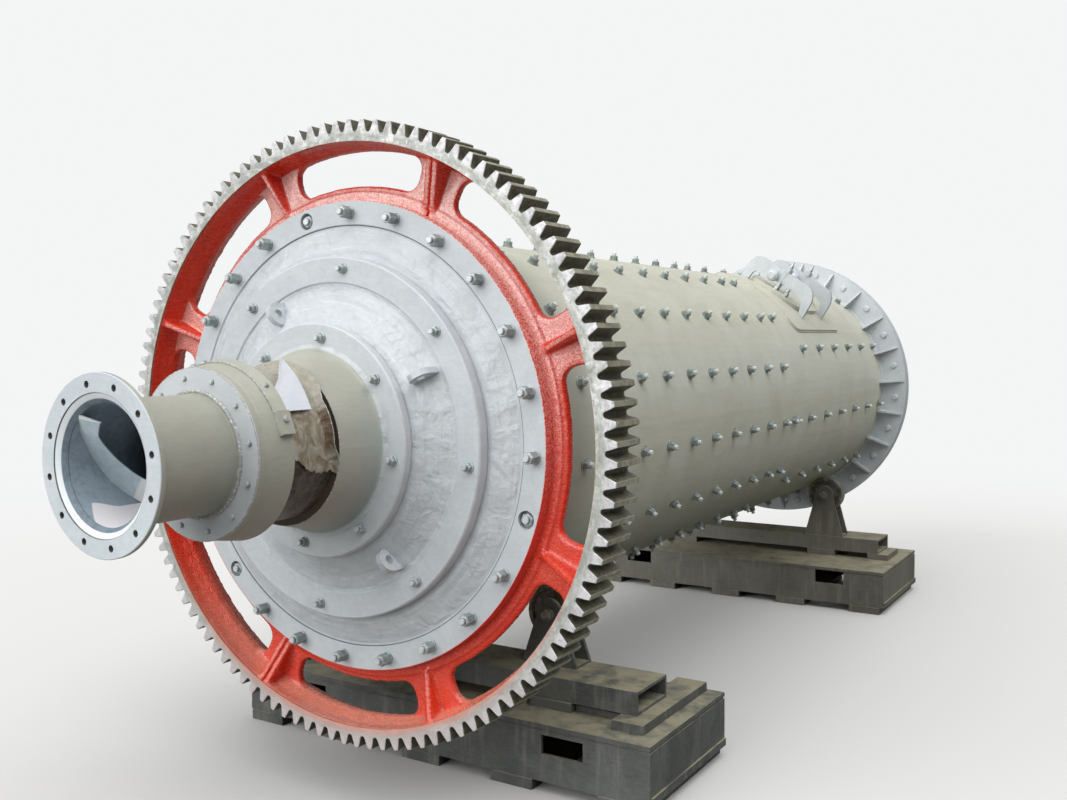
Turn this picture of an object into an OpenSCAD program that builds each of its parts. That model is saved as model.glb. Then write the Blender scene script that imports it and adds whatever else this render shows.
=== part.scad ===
// Drum of a ball mill with its split ring gear, lying on two workshop roller stands.
// The drum turns about the Y axis. The gear and the spiral outlet are at the low Y end.

/* [Drum] */
// Height of the drum axis above the floor
axis_h = 1410; // [1390:5:1540]
// Outside diameter of the shell plate
shell_d = 1560; // [1540:5:1580]
// Thickness of the shell plate
shell_t = 20; // [12:1:40]
// Length of the shell between the outer faces of its two end flanges
shell_len = 4760; // [4700:1:4900]
// How far the front flange and the heads stand out past the shell
head_over = 103; // [98:1:108]
// How far the rear shell flange stands out past the shell
rear_over = 164; // [150:1:175]
// Thickness of each bolted flange
flange_t = 45; // [36:1:55]
// Number of gusset plates before the rear shell flange
gussets = 24; // [12:2:24]

/* [Ring gear] */
// Outside diameter over the teeth
gear_d = 2340; // [2320:2:2360]
// Number of teeth on the whole ring
teeth = 114; // [100:2:120]
// Width of the tooth faces
gear_w = 165; // [155:1:175]
// Depth of a tooth from tip to root
tooth_h = 45; // [38:1:48]
// Thickness of the bolted inner part of the gear web
web_t = 48; // [40:1:56]
// Number of windows in the web
windows = 8; // [6:2:8]
// Thickness of a rib between two windows
rib_t = 26; // [16:1:30]

/* [Trunnions and outlet] */
// Diameter of the journal that runs in the bearing
journal_d = 516; // [500:2:530]
// Bore of the hollow trunnions
trunnion_bore = 390; // [360:2:400]
// Distance from the front face of the teeth to the outlet face
front_reach = 1024; // [1000:2:1060]
// Diameter of the outlet flange
spout_flange_d = 552; // [540:2:580]
// Number of holes in the outlet flange
spout_holes = 12; // [8:1:16]
// Circle that the holes of the outlet flange lie on
spout_pcd = 487; // [470:1:495]
// Diameter of a hole in the outlet flange
spout_hole_d = 22; // [12:1:26]
// Outside diameter of the outlet tube
spout_d = 390; // [380:2:410]
// Wall thickness of the outlet tube
spout_t = 10; // [8:1:16]

/* [Stands] */
// Diameter of a support roller
roller_d = 232; // [220:2:250]
// Width of a support roller
roller_w = 80; // [60:2:86]
// Length of a stand base across the drum
base_l = 2080; // [2000:10:2200]
// Width of the front stand base along the drum
base_w = 720; // [640:10:760]
// Width of the rear stand base along the drum
rear_base_w = 870; // [800:10:900]
// Height of a stand base without its packing
base_h = 229; // [200:1:240]
// Height of the hollow slide beam that carries the rollers
slide_h = 93; // [80:1:100]

/* [Hidden] */

$fn = 96;
seat = 0.3;                               // gap between pieces that touch

// radii, each from the size it belongs to
shell_r = shell_d / 2;
head_r = shell_r + head_over;
rear_r = shell_r + rear_over;
bolt_r = head_r - 45;                     // circle of the head bolts
groove_r = head_r - 92;                   // inner edge of the head's bolting face
mid_r = 0.759 * head_r;                   // trunnion flange
step_r = 0.649 * head_r;                  // step on the trunnion flange
disc_r = 0.4836 * head_r;                 // inner disc
neck_r = 0.375 * head_r;                  // neck where it leaves the disc
fillet_r = neck_r + 21;                   // outer edge of the neck's fillet
journal_r = journal_d / 2;
collar_r = journal_r + 26;
bore_r = trunnion_bore / 2;
sleeve_r = journal_r + 42;
ring_r = journal_r + 23;
gear_r = gear_d / 2;
root_r = gear_r - tooth_h;
rim_r = root_r - 34;                      // inside of the gear rim
hub_r = shell_r + 4;                      // bore of the gear web
pad_r = head_r + 37;                      // edge of the bolted part of the web
win_in = pad_r + 0.12 * (rim_r - pad_r);
win_out = rim_r - 0.12 * (rim_r - pad_r);
win_half = 17.2;                          // half of a window's angle
split_a = 66;                             // angle of the gear joint above the X axis

// stations along the drum, counted from the front face of the teeth
st_head = 40;                             // outer face of the front head flange
st_web = st_head + flange_t;              // front face of the gear web
st_shell = st_web + web_t;                // front face of the front shell flange
st_rear = st_shell + shell_len;           // rear face of the rear shell flange
// depths of an end, counted outwards from the head flange face
dp_cone = 34;                             // foot of the trunnion flange
dp_mid = 81;                              // face of the trunnion flange
dp_disc = 179;                            // face of the inner disc
dp_collar = 345;                          // end of the neck
dp_sleeve = 567;                          // start of the sleeve
dp_ring = 706;                            // outer face of the ring
ring_t = 34;
spout_flange_t = 30;
rear_end = st_rear + flange_t + dp_ring;
shift = (rear_end - front_reach) / 2;     // brings the middle of the drum to Y = 0

// stands
roller_r = roller_d / 2;
front_roller_a = 28;                      // rollers, degrees each side of straight down
rear_roller_a = 36;
roller_c = shell_r + roller_r + seat;     // from the drum axis to a roller axis
front_y = 868;                            // station of the front rollers
rear_back = 531;                          // rear rollers before the rear flange's face
rear_y = st_rear - rear_back;
front_bed = -10;                          // a base's middle from its rollers
rear_bed = -46;
front_beam = -63;                         // a slide's middle from its rollers
rear_beam = 62;
shim_t = 41;                              // packing under a base
shim_l = 195;
plate_t = 37;                             // spacers under a slide
slide_w = 268;
slide_wall = 12;
slide_z = shim_t + base_h + plate_t + 3 * seat;
bracket_z = slide_z + slide_h + seat;
cheek_t = 16;
cheek_gap = 8;
cheek_w = 264;                            // foot of a bracket plate
cheek_top = 54;                           // round top of a bracket plate, radius
foot_t = 10;
axle_d = 50;

// manhole
man_back = 1212;                          // its middle before the rear flange's face
man_y = st_rear - man_back;
man_a = 55.1;                             // angle of its middle above the X axis
man_hole_d = 330;
man_pad_l = 930;
man_pad_w = 640;
man_cover_l = 560;
man_cover_w = 400;
pad_t = 14;
cover_t = 22;
arch_off = 192;                           // each clamp from the middle
arch_h = 158;                             // its top above the shell

module at_station(y) { translate([0, y - shift, axis_h]) children(); }
// turns a profile of radius and station about the drum axis
module lathe(pts) { at_station(0) rotate([-90, 0, 0]) rotate_extrude() polygon(pts); }
// turns children from the X axis to an angle above it, seen from the gear end
module about(a) { at_station(0) rotate([0, -a, 0]) children(); }
// the same profile for both ends: face is the head face, d is -1 in front and 1 behind
module end_lathe(face, d, pts) { lathe([for (p = pts) [p[0], face + d * p[1]]]); }

// stands
module base_box(y, w, cuts) {
    translate([-base_l / 2, y - shift - w / 2, shim_t + seat]) difference() {
        cube([base_l, w, base_h]);
        translate([16, 16, -1]) cube([base_l - 32, w - 32, base_h - 17]);
        for (c = cuts) translate([c[0], -1, c[1]]) cube([c[2], w + 2, c[3]]);
        // a groove runs round below the top plate
        difference() {
            translate([-1, -1, base_h - 26]) cube([base_l + 2, w + 2, 8]);
            translate([5, 5, base_h - 30]) cube([base_l - 10, w - 10, 40]);
        }
    }
}
module packing(y, w) {
    for (k = [0.005, 0.21, 0.44, 0.66, 0.895])
        translate([base_l * (k - 0.5), y - shift - w / 2 - 8, 0])
            cube([shim_l, w + 16, shim_t]);
}
// plates between a base and its slide, the same on the left and right: an outer pair that
// reaches from yo over lo along the drum, and an inner pair from yi over li
module spacers(yo, lo, yi, li) {
    for (s = [0, 1]) mirror([s, 0, 0])
        for (q = [[0.4, 0.065, yo, lo], [0.201, 0.092, yi, li]])
            translate([base_l * q[0], q[2] - shift, shim_t + base_h + 2 * seat])
                cube([base_l * q[1], q[3], plate_t]);
}
module slide_beam(y) {
    l = base_l - 280;
    translate([-l / 2, y - shift - slide_w / 2, slide_z]) difference() {
        cube([l, slide_w, slide_h]);
        translate([-1, slide_wall, slide_wall])
            cube([l + 2, slide_w - 2 * slide_wall, slide_h - 2 * slide_wall]);
    }
}
module bracket(y, a, s) {
    h = axis_h - roller_c * cos(a) - bracket_z;
    w = cheek_w / 2;
    d = roller_w / 2 + cheek_gap + cheek_t;
    translate([s * roller_c * sin(a), y - shift, bracket_z]) {
        translate([-w, -d, 0]) cube([cheek_w, 2 * d, foot_t]);
        for (k = [-1, 1]) translate([0, k * (d - cheek_t / 2) + cheek_t / 2, 0])
            rotate([90, 0, 0]) difference() {
                linear_extrude(cheek_t) union() {
                    polygon([[-w, foot_t - 4], [w, foot_t - 4], [cheek_top, h + 10],
                        [-cheek_top, h + 10]]);
                    translate([0, h + 8]) circle(r = cheek_top + 3);
                }
                translate([0, h, -1]) cylinder(h = cheek_t + 2, d = axle_d + 0.4);
            }
    }
}
module roller(y, a, s) {
    w = roller_w / 2;
    end = w + cheek_gap + cheek_t + 14;
    translate([s * roller_c * sin(a), y - shift, axis_h - roller_c * cos(a)])
        rotate([-90, 0, 0]) rotate_extrude()
        polygon([[0, -end], [axle_d / 2, -end], [axle_d / 2, -w - 4], [48, -w - 4],
            [48, -w + 14], [roller_r - 22, -w + 14], [roller_r - 18, -w],
            [roller_r, -w], [roller_r, w], [roller_r - 18, w], [roller_r - 22, w - 14],
            [48, w - 14], [48, w + 4], [axle_d / 2, w + 4], [axle_d / 2, end], [0, end]]);
}
module front_base() {
    color("#55564f") base_box(front_y + front_bed, base_w,
        [[0.137 * base_l, 109, 0.09 * base_l, 78], [0.773 * base_l, 109, 0.09 * base_l, 78]]);
}
module rear_base() {
    color("#55564f") base_box(rear_y + rear_bed, rear_base_w,
        [[0.123 * base_l, 124, 0.09 * base_l, 84], [0.787 * base_l, 124, 0.09 * base_l, 84]]);
}
module front_packing() { color("#6d6b60") packing(front_y + front_bed, base_w); }
module rear_packing() { color("#6d6b60") packing(rear_y + rear_bed, rear_base_w); }
module front_spacers() {
    yi = front_y + front_beam - slide_w / 2 - 12;
    color("#63614f") {
        spacers(front_y + front_bed - base_w / 2 + 90, base_w - 110, yi, slide_w + 16);
        // a lower bar lies between the plates
        for (s = [0, 1]) mirror([s, 0, 0])
            translate([base_l * 0.2947, yi + 36 - shift, shim_t + base_h + 2 * seat])
                cube([base_l * 0.1035, slide_w - 36, plate_t - 13]);
    }
}
module rear_spacers() {
    yi = rear_y + rear_beam - slide_w / 2 - 8;
    color("#5f5d52") spacers(yi, slide_w + 16, yi, slide_w + 16);
}
module front_slide() { color("#5d5c52") slide_beam(front_y + front_beam); }
module rear_slide() { color("#5d5c52") slide_beam(rear_y + rear_beam); }
module front_bracket_left() { color("#5a5b55") bracket(front_y, front_roller_a, -1); }
module front_bracket_right() { color("#5a5b55") bracket(front_y, front_roller_a, 1); }
module rear_bracket_left() { color("#5a5b55") bracket(rear_y, rear_roller_a, -1); }
module rear_bracket_right() { color("#5a5b55") bracket(rear_y, rear_roller_a, 1); }
module front_roller_left() { color("#77766f") roller(front_y, front_roller_a, -1); }
module front_roller_right() { color("#77766f") roller(front_y, front_roller_a, 1); }
module rear_roller_left() { color("#77766f") roller(rear_y, rear_roller_a, -1); }
module rear_roller_right() { color("#77766f") roller(rear_y, rear_roller_a, 1); }

// shell with its flanges
module shell() {
    color("#b9b4a6") difference() {
        lathe([[shell_r - shell_t, st_shell], [shell_r, st_shell], [shell_r, st_rear],
            [shell_r - shell_t, st_rear]]);
        about(man_a) translate([shell_r, man_y, 0]) rotate([0, 90, 0])
            cylinder(h = 200, d = man_hole_d, center = true);
    }
}
module shell_front_flange() {
    color("#cfd6da") lathe([[shell_r + seat, st_shell], [head_r, st_shell],
        [head_r, st_shell + flange_t], [shell_r + 20, st_shell + flange_t],
        [shell_r + seat, st_shell + flange_t + 18]]);
}
module shell_rear_flange() {
    f = st_rear - flange_t;
    color("#cfd6da") {
        lathe([[shell_r + seat, f - 12], [shell_r + 10, f], [rear_r, f], [rear_r, st_rear],
            [shell_r + seat, st_rear]]);
        for (i = [0:gussets - 1]) about(3.3 + i * 360 / gussets)
            translate([shell_r + seat, f - 95, -7]) linear_extrude(14)
                polygon([[0, 0], [12, 0], [rear_over - 14, 86], [rear_over - 14, 96], [0, 96]]);
    }
}

// gear ring in two halves, drawn flat with the station along Z
module half_plane(lower) {
    rotate(split_a + (lower ? 180 : 0)) translate([-1.1 * gear_r, seat / 2])
        square([2.2 * gear_r, 1.1 * gear_r]);
}
module tooth_ring() {
    p = 360 / teeth;
    w = PI * 2 * root_r / teeth;
    circle(r = root_r, $fn = 180);
    for (i = [0:teeth - 1]) rotate(split_a + (i + 0.5) * p)
        polygon([for (q = [[-3, -0.36], [0.4, -0.285], [0.75, -0.205], [1, -0.115],
                [1, 0.115], [0.75, 0.205], [0.4, 0.285], [-3, 0.36]])
            [root_r + (q[0] < 0 ? q[0] : q[0] * tooth_h), w * q[1]]]);
}
module window() {
    c = 0.38 * (win_out - win_in);
    a = win_half;
    ai = asin(c / (win_in + c));
    ao = asin(c / (win_out - c));
    module sector(r1, r2, h) {
        intersection() {
            difference() { circle(r = r2, $fn = 180); circle(r = r1, $fn = 180); }
            polygon([[0, 0], [2 * r2 * cos(h), -2 * r2 * sin(h)],
                [2 * r2 * cos(h), 2 * r2 * sin(h)]]);
        }
    }
    sector(win_in, win_out, a - ai);
    sector(win_in + c, win_out - c, a);
    for (s = [-1, 1]) {
        rotate(s * (a - ai)) translate([win_in + c, 0]) circle(r = c, $fn = 48);
        rotate(s * (a - ao)) translate([win_out - c, 0]) circle(r = c, $fn = 48);
    }
}
// one rib in the plane of radius and station, t thick, standing beside its angle
module rib(a, t, off) {
    b1 = st_web - 8;
    b2 = st_shell + 8;
    foot = pad_r - 12;
    rotate([0, 0, a]) translate([0, off, 0]) rotate([90, 0, 0])
        translate([0, 0, -t]) linear_extrude(t) polygon([[foot, b1 + 12], [foot, b1],
            [rim_r + 2, 3], [rim_r + 2, gear_w - 3], [foot, b2], [foot, b2 - 12]]);
}
module gear_half(lower) {
    at_station(0) rotate([90, 0, 0]) mirror([0, 0, 1]) {
        // rim and teeth
        linear_extrude(gear_w) difference() {
            intersection() { tooth_ring(); half_plane(lower); }
            circle(r = rim_r, $fn = 180);
        }
        // web with its windows
        difference() {
            translate([0, 0, st_web + 8]) linear_extrude(web_t - 16) difference() {
                circle(r = rim_r + 2, $fn = 180);
                circle(r = pad_r - 2, $fn = 180);
                for (i = [0:windows - 1])
                    rotate(split_a + (i + 0.5) * 360 / windows) window();
            }
            other_half(lower);
        }
        // bolted inner part of the web, and the thick root of the rim
        difference() {
            rotate_extrude($fn = 180) {
                polygon([[hub_r, st_web], [pad_r - 3, st_web], [pad_r, st_web + 3],
                    [pad_r, st_shell - 3], [pad_r - 3, st_shell], [hub_r, st_shell]]);
                polygon([[rim_r + 2, st_web - 30], [rim_r + 2, st_shell + 30],
                    [win_out + 1, st_shell - 8], [win_out + 1, st_web + 8]]);
            }
            other_half(lower);
        }
        n = windows / 2;
        for (i = [1:n - 1])
            rib(split_a + (lower ? 180 : 0) + i * 360 / windows, rib_t, -rib_t / 2);
        rib(split_a + (lower ? 180 : 0), rib_t + 4, seat / 2);
        rib(split_a + (lower ? 0 : 180), rib_t + 4, -rib_t - 4 - seat / 2);
    }
}
module other_half(lower) {
    rotate([0, 0, split_a + (lower ? 0 : 180)])
        translate([-1.1 * gear_r, -seat / 2, -50]) cube([2.2 * gear_r, 1.2 * gear_r, 300]);
}
module gear_half_upper() { color("#b03020") gear_half(false); }
module gear_half_lower() { color("#a82c1e") gear_half(true); }

// the two ends of the drum
module head(face, d, edge) {
    end_lathe(face, d, [[edge, -flange_t], [edge, 0], [groove_r + 4, 0],
        [groove_r, -5], [groove_r - 8, -5], [mid_r + 30, dp_cone - 4],
        [mid_r - 60, dp_cone], [neck_r, dp_cone], [neck_r, -flange_t]]);
}
module trunnion(face, d) {
    end_lathe(face, d, [[bore_r, dp_cone + seat], [mid_r, dp_cone + seat],
        [mid_r, dp_mid - 5], [mid_r - 5, dp_mid], [step_r + 6, dp_mid],
        [step_r, dp_mid - 6], [step_r - 12, dp_mid - 6], [step_r - 60, dp_mid + 12],
        [disc_r + 12, dp_disc - 46], [disc_r - 4, dp_disc - 40], [fillet_r, dp_disc - 40],
        [fillet_r, dp_disc], [fillet_r - 11, dp_disc + 3], [fillet_r - 20, dp_disc + 9],
        [fillet_r - 26, dp_disc + 18], [fillet_r - 29, dp_disc + 29], [collar_r, dp_collar],
        [journal_r, dp_collar + 3], [journal_r, dp_ring - ring_t],
        [bore_r, dp_ring - ring_t]]);
}
module disc(face, d) {
    end_lathe(face, d, [[fillet_r + seat, dp_disc - 40 + seat], [disc_r - 6, dp_disc - 40 + seat],
        [disc_r, dp_disc - 34], [disc_r, dp_disc - 5], [disc_r - 5, dp_disc],
        [fillet_r + seat, dp_disc]]);
}
module sleeve(face, d) {
    end_lathe(face, d, [[journal_r + seat, dp_sleeve], [sleeve_r - 4, dp_sleeve],
        [sleeve_r, dp_sleeve + 4], [ring_r + 2, dp_ring - ring_t - seat],
        [journal_r + seat, dp_ring - ring_t - seat]]);
}
module ring(face, d) {
    end_lathe(face, d, [[bore_r, dp_ring - ring_t + seat], [ring_r - 3, dp_ring - ring_t + seat],
        [ring_r, dp_ring - ring_t + 3], [ring_r, dp_ring - 3], [ring_r - 3, dp_ring],
        [bore_r, dp_ring]]);
}
// three of the head bolts sit in round recesses
module front_head() {
    color("#cfd6da") difference() {
        head(st_head, -1, head_r);
        for (a = [102.7, -17.3, -137.3]) about(a)
            translate([bolt_r, st_head - 1, 0]) rotate([-90, 0, 0]) cylinder(h = 31, d = 64);
    }
}
module front_trunnion() { color("#c9d1d6") trunnion(st_head, -1); }
module front_disc() { color("#cfd6da") disc(st_head, -1); }
module front_sleeve() { color("#a9aba7") sleeve(st_head, -1); }
module sleeve_ring() { color("#b5b7b2") ring(st_head, -1); }
module rear_head() { color("#cfd6da") head(st_rear + flange_t, 1, rear_r); }
module rear_trunnion() { color("#c9d1d6") trunnion(st_rear + flange_t, 1); }
module rear_disc() { color("#cfd6da") disc(st_rear + flange_t, 1); }
module rear_sleeve() { color("#a9aba7") sleeve(st_rear + flange_t, 1); }
module rear_ring() { color("#b5b7b2") ring(st_rear + flange_t, 1); }

// outlet: a tube, a flange with a shallow recess in its face, and the spiral vane
module spout_tube() {
    a = -front_reach + spout_flange_t + seat;
    b = st_head - dp_ring - seat;
    r = spout_d / 2;
    color("#9b9a92") lathe([[r - spout_t, a], [r, a], [r, b - 12], [r + 10, b],
        [r - spout_t, b]]);
}
module spout_flange() {
    r = spout_flange_d / 2;
    f = -front_reach;
    color("#a3a29a") difference() {
        lathe([[spout_d / 2 + 16, f], [r - 3, f], [r, f + 3], [r, f + spout_flange_t],
            [spout_d / 2 - spout_t, f + spout_flange_t], [spout_d / 2 - spout_t, f + 20],
            [spout_d / 2 + 13, f + 18]]);
        for (i = [0:spout_holes - 1]) about(10.8 + i * 360 / spout_holes)
            translate([spout_pcd / 2, f - 1, 0]) rotate([-90, 0, 0])
                cylinder(h = spout_flange_t + 2, d = spout_hole_d, $fn = 32);
    }
}
// the vane is a ribbon along the bore: its root starts at an angle above the X axis, some way
// behind the outlet face, and its free edge leans back against the turn
module spout_flight() {
    start = 127.3; lean = -16; turn = 150; n = 15;
    ro = spout_d / 2 - spout_t - seat;
    ri = 0.564 * spout_d;
    t = 8;
    color("#8f8e86") at_station(-front_reach + 20) rotate([90, 0, 0]) mirror([0, 0, 1])
        polyhedron(points = [for (i = [0:n]) let (b = start + turn * i / n)
                for (q = [[ri / 2, lean, t], [ro, 0, 0], [ro, 0, t], [ri / 2, lean, 2 * t]])
                [q[0] * cos(b + q[1]), q[0] * sin(b + q[1]), q[2] + 740 * turn / 360 * i / n]],
            faces = concat([[0, 1, 2], [0, 2, 3], [4 * n + 2, 4 * n + 1, 4 * n],
                [4 * n + 3, 4 * n + 2, 4 * n]],
                [for (i = [0:n - 1]) for (k = [0:3]) for (h = [0, 1]) h == 0
                    ? [4 * i + k, 4 * i + 4 + k, 4 * i + 4 + (k + 1) % 4]
                    : [4 * i + k, 4 * i + 4 + (k + 1) % 4, 4 * i + (k + 1) % 4]]));
}
// greased wrapping left on the upper part of the journal
module journal_wrap() {
    color("#6b4a36") translate([0, st_head - dp_sleeve + 4 - shift, axis_h])
        rotate([-90, 0, 0]) rotate([0, 0, -185]) rotate_extrude(angle = 190)
            translate([journal_r + seat, 0]) square([7, dp_sleeve - dp_collar - 12]);
}
module lifting_lugs() {
    // each is an arched plate that stands on the dished face
    mid = (disc_r + step_r) / 2 + 13;
    foot = step_r - 60;
    w = 45;
    // depth of the dished face at a radius
    function dish(r) = r < foot
        ? dp_mid + 12 + (foot - r) / (foot - disc_r - 12) * (dp_disc - 58 - dp_mid)
        : dp_mid + 12 - 18 * (r - foot) / 48;
    top = dp_mid + 42;
    color("#c9d1d6") for (a = [27.9, 115.8, -54.7, -152.7]) about(a)
        translate([0, st_head, -11]) linear_extrude(22) difference() {
            union() {
                polygon([[mid - w, -dish(mid - w) - seat],
                    [min(mid, foot), -dish(min(mid, foot)) - seat],
                    [max(mid, foot), -dish(max(mid, foot)) - seat],
                    [mid + w, -dish(mid + w) - seat], [mid + w, -top], [mid - w, -top]]);
                intersection() {
                    translate([mid, -top]) circle(r = w, $fn = 48);
                    translate([mid - w, -top - w]) square([2 * w, w + 1]);
                }
            }
            translate([mid, -top - 2]) circle(r = 17, $fn = 32);
        }
}

// manhole on the shell
module rounded(w, h, r) {
    square([w - 2 * r, h], center = true);
    square([w, h - 2 * r], center = true);
    for (x = [-1, 1], y = [-1, 1]) translate([x * (w / 2 - r), y * (h / 2 - r)]) circle(r = r);
}
// a plate bent to the shell, from radius r, t thick, with its outline seen from outside
module bent_plate(r, t) {
    about(man_a) intersection() {
        translate([0, man_y - man_pad_l, 0]) rotate([-90, 0, 0]) difference() {
            cylinder(h = 2 * man_pad_l, r = r + t);
            translate([0, 0, -1]) cylinder(h = 2 * man_pad_l + 2, r = r);
        }
        translate([0, man_y, 0]) rotate([0, 90, 0]) rotate([0, 0, 90])
            linear_extrude(1.2 * shell_r) children();
    }
}
module manhole_pad() {
    color("#b2ad9f") bent_plate(shell_r + seat, pad_t) difference() {
        rounded(man_pad_l, man_pad_w, 90);
        circle(d = man_hole_d);
    }
}
module manhole_cover() {
    color("#b2ad9f") bent_plate(shell_r + pad_t + 2 * seat, cover_t)
        rounded(man_cover_l, man_cover_w, man_cover_w / 2 - 10);
}
module clamp(y) {
    r = shell_r + pad_t + 2 * seat;
    // the foot follows the pad
    function on_pad(u) = sqrt(r * r - u * u) + 1;
    top = shell_r + arch_h;
    color("#cfd6da") about(man_a) {
        translate([0, y + 13, 0]) rotate([90, 0, 0]) linear_extrude(26) difference() {
            polygon([[on_pad(242), -242], [top - 68, -234], [top - 26, -214], [top - 6, -190],
                [top, -160], [top, 150], [top - 4, 190], [top - 22, 226], [top - 60, 242],
                [top - 110, 248], [on_pad(242), 244], [on_pad(196), 196], [top - 118, 190],
                [top - 96, 174], [top - 84, 150], [top - 82, -140], [top - 92, -166],
                [top - 112, -184], [on_pad(206), -206]]);
        }
        translate([r + cover_t + seat, y, 0]) rotate([0, 90, 0])
            cylinder(h = top + 34 - r - cover_t, d = 30, $fn = 48);
        translate([top, y, 0]) rotate([0, 90, 0]) cylinder(h = 26, d = 56, $fn = 6);
    }
}
module manhole_clamp_front() { clamp(man_y - arch_off); }
module manhole_clamp_rear() { clamp(man_y + arch_off); }

front_base();
rear_base();
front_packing();
rear_packing();
front_spacers();
rear_spacers();
front_slide();
rear_slide();
front_bracket_left();
front_bracket_right();
rear_bracket_left();
rear_bracket_right();
front_roller_left();
front_roller_right();
rear_roller_left();
rear_roller_right();
shell();
shell_front_flange();
shell_rear_flange();
gear_half_upper();
gear_half_lower();
front_head();
front_trunnion();
front_disc();
front_sleeve();
sleeve_ring();
spout_tube();
spout_flange();
spout_flight();
journal_wrap();
lifting_lugs();
rear_head();
rear_trunnion();
rear_disc();
rear_sleeve();
rear_ring();
manhole_pad();
manhole_cover();
manhole_clamp_front();
manhole_clamp_rear();
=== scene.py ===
from functools import cached_property
import math

import bmesh
import bpy
from mathutils import Matrix, Vector, noise


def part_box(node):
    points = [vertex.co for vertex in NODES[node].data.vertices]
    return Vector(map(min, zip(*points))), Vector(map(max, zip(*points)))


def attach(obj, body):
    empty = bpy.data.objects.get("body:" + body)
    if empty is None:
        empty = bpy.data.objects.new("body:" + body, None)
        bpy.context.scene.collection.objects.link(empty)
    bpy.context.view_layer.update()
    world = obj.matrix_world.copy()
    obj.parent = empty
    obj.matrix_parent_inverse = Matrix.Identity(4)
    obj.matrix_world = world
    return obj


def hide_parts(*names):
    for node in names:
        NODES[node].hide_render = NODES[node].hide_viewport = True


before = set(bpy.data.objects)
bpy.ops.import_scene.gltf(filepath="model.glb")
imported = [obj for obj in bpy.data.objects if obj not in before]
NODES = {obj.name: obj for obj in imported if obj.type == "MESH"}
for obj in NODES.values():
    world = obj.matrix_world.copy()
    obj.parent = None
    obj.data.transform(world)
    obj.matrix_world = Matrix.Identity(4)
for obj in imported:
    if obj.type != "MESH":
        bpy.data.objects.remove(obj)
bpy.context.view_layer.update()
MM = 0.001

# Where things are.
# Stations are millimetres along the drum from the front face of the gear teeth.
gear_lo, gear_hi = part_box("gear_half_upper")
outlet_lo, outlet_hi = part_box("spout_flange")
AXIS_Z = (outlet_lo.z + outlet_hi.z) / 2
GEAR_FACE_Y = gear_lo.y

SHELL_R = 780
HEAD_FACE = 40
MID_FACE = -41
DISC_FACE = -139
RING_FACE = -666
OUTLET_FACE = -1024
SHELL_REAR = 4893
REAR_FACE = 4938
GEAR_TIP = 1170
GEAR_ROOT = 1125
GEAR_WIDTH = 165
GEAR_TEETH = 114
SPLIT_ANGLE = 66.0
WINDOWS = 8
# bolt angles are counted from the drum's own mark, which stands this far above +X
DRUM_TURN = 1.3


def axis_point(station):
    return Vector((0, GEAR_FACE_Y + station * MM, AXIS_Z))


def on_drum(angle, radius, station, facing="out"):
    """Matrix for a part made in mm round its own +Z: out of the shell, or along the axis."""
    turn = math.radians(angle + DRUM_TURN)
    outward = Vector((math.cos(turn), 0, math.sin(turn)))
    along = Vector((0, 1, 0))
    up = {"out": outward, "front": -along, "rear": along}[facing]
    side = along if facing == "out" else outward
    place = Matrix((side, up.cross(side), up)).transposed().to_4x4()
    place.translation = axis_point(station) + outward * radius * MM
    return place @ Matrix.Scale(MM, 4)


def drum_frame():
    """Matrix from (x, station, z) in mm about the axis to the part's frame in metres."""
    return Matrix.Translation(axis_point(0)) @ Matrix.Scale(MM, 4)


# Making pieces
def turn_outward(bm):
    bmesh.ops.recalc_face_normals(bm, faces=bm.faces)


def linked(name, data):
    """A new object of this data, placed in the scene."""
    made = bpy.data.objects.new(name, data)
    bpy.context.scene.collection.objects.link(made)
    return made


def baked(bm, name):
    """Writes a bmesh to a new mesh and frees it."""
    mesh = bpy.data.meshes.new(name)
    bm.to_mesh(mesh)
    bm.free()
    return mesh


def piece(name, bm, finish, body="drum", sharp=35.0):
    """Turns a finished bmesh into a named piece that rides on a body."""
    return mesh_piece(name, baked(bm, name), finish, body, sharp)


def mesh_piece(name, mesh, finish, body="drum", sharp=35.0):
    mesh.name = name
    made = linked(name, mesh)
    mesh.materials.clear()
    mesh.materials.append(finish)
    mesh.polygons.foreach_set("use_smooth", [True] * len(mesh.polygons))
    mesh.set_sharp_from_angle(angle=math.radians(sharp))
    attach(made, body)
    return made


def stamp(bm, shape, place):
    """Adds a copy of a mesh to bm at a matrix."""
    before = len(bm.verts)
    bm.from_mesh(shape)
    bm.verts.ensure_lookup_table()
    bmesh.ops.transform(bm, matrix=place, verts=bm.verts[before:])


def bevel(bm, edges, width, steps=1, material=-1):
    bmesh.ops.bevel(bm, geom=edges, offset=width, offset_type="OFFSET", segments=steps,
                    profile=0.5, affect="EDGES", material=material)


def post(bm, radius, z0, z1, sides, chamfer=0.0, top=None):
    """A round or many-sided post from z0 to z1 with a chamfered top."""
    place = Matrix.Translation((0, 0, (z0 + z1) / 2))
    made = bmesh.ops.create_cone(
        bm, cap_ends=True, segments=sides, radius1=radius,
        radius2=radius if top is None else top, depth=z1 - z0, matrix=place)
    if chamfer:
        rim = [e for e in {e for v in made["verts"] for e in v.link_edges}
               if all(v.co.z > z1 - 0.01 for v in e.verts)]
        bevel(bm, rim, chamfer)


def small_part(posts):
    """The mesh of a small part made of posts, ready to be stamped."""
    bm = bmesh.new()
    for sizes in posts:
        post(bm, *sizes)
    turn_outward(bm)
    return baked(bm, "small_part")


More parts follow.
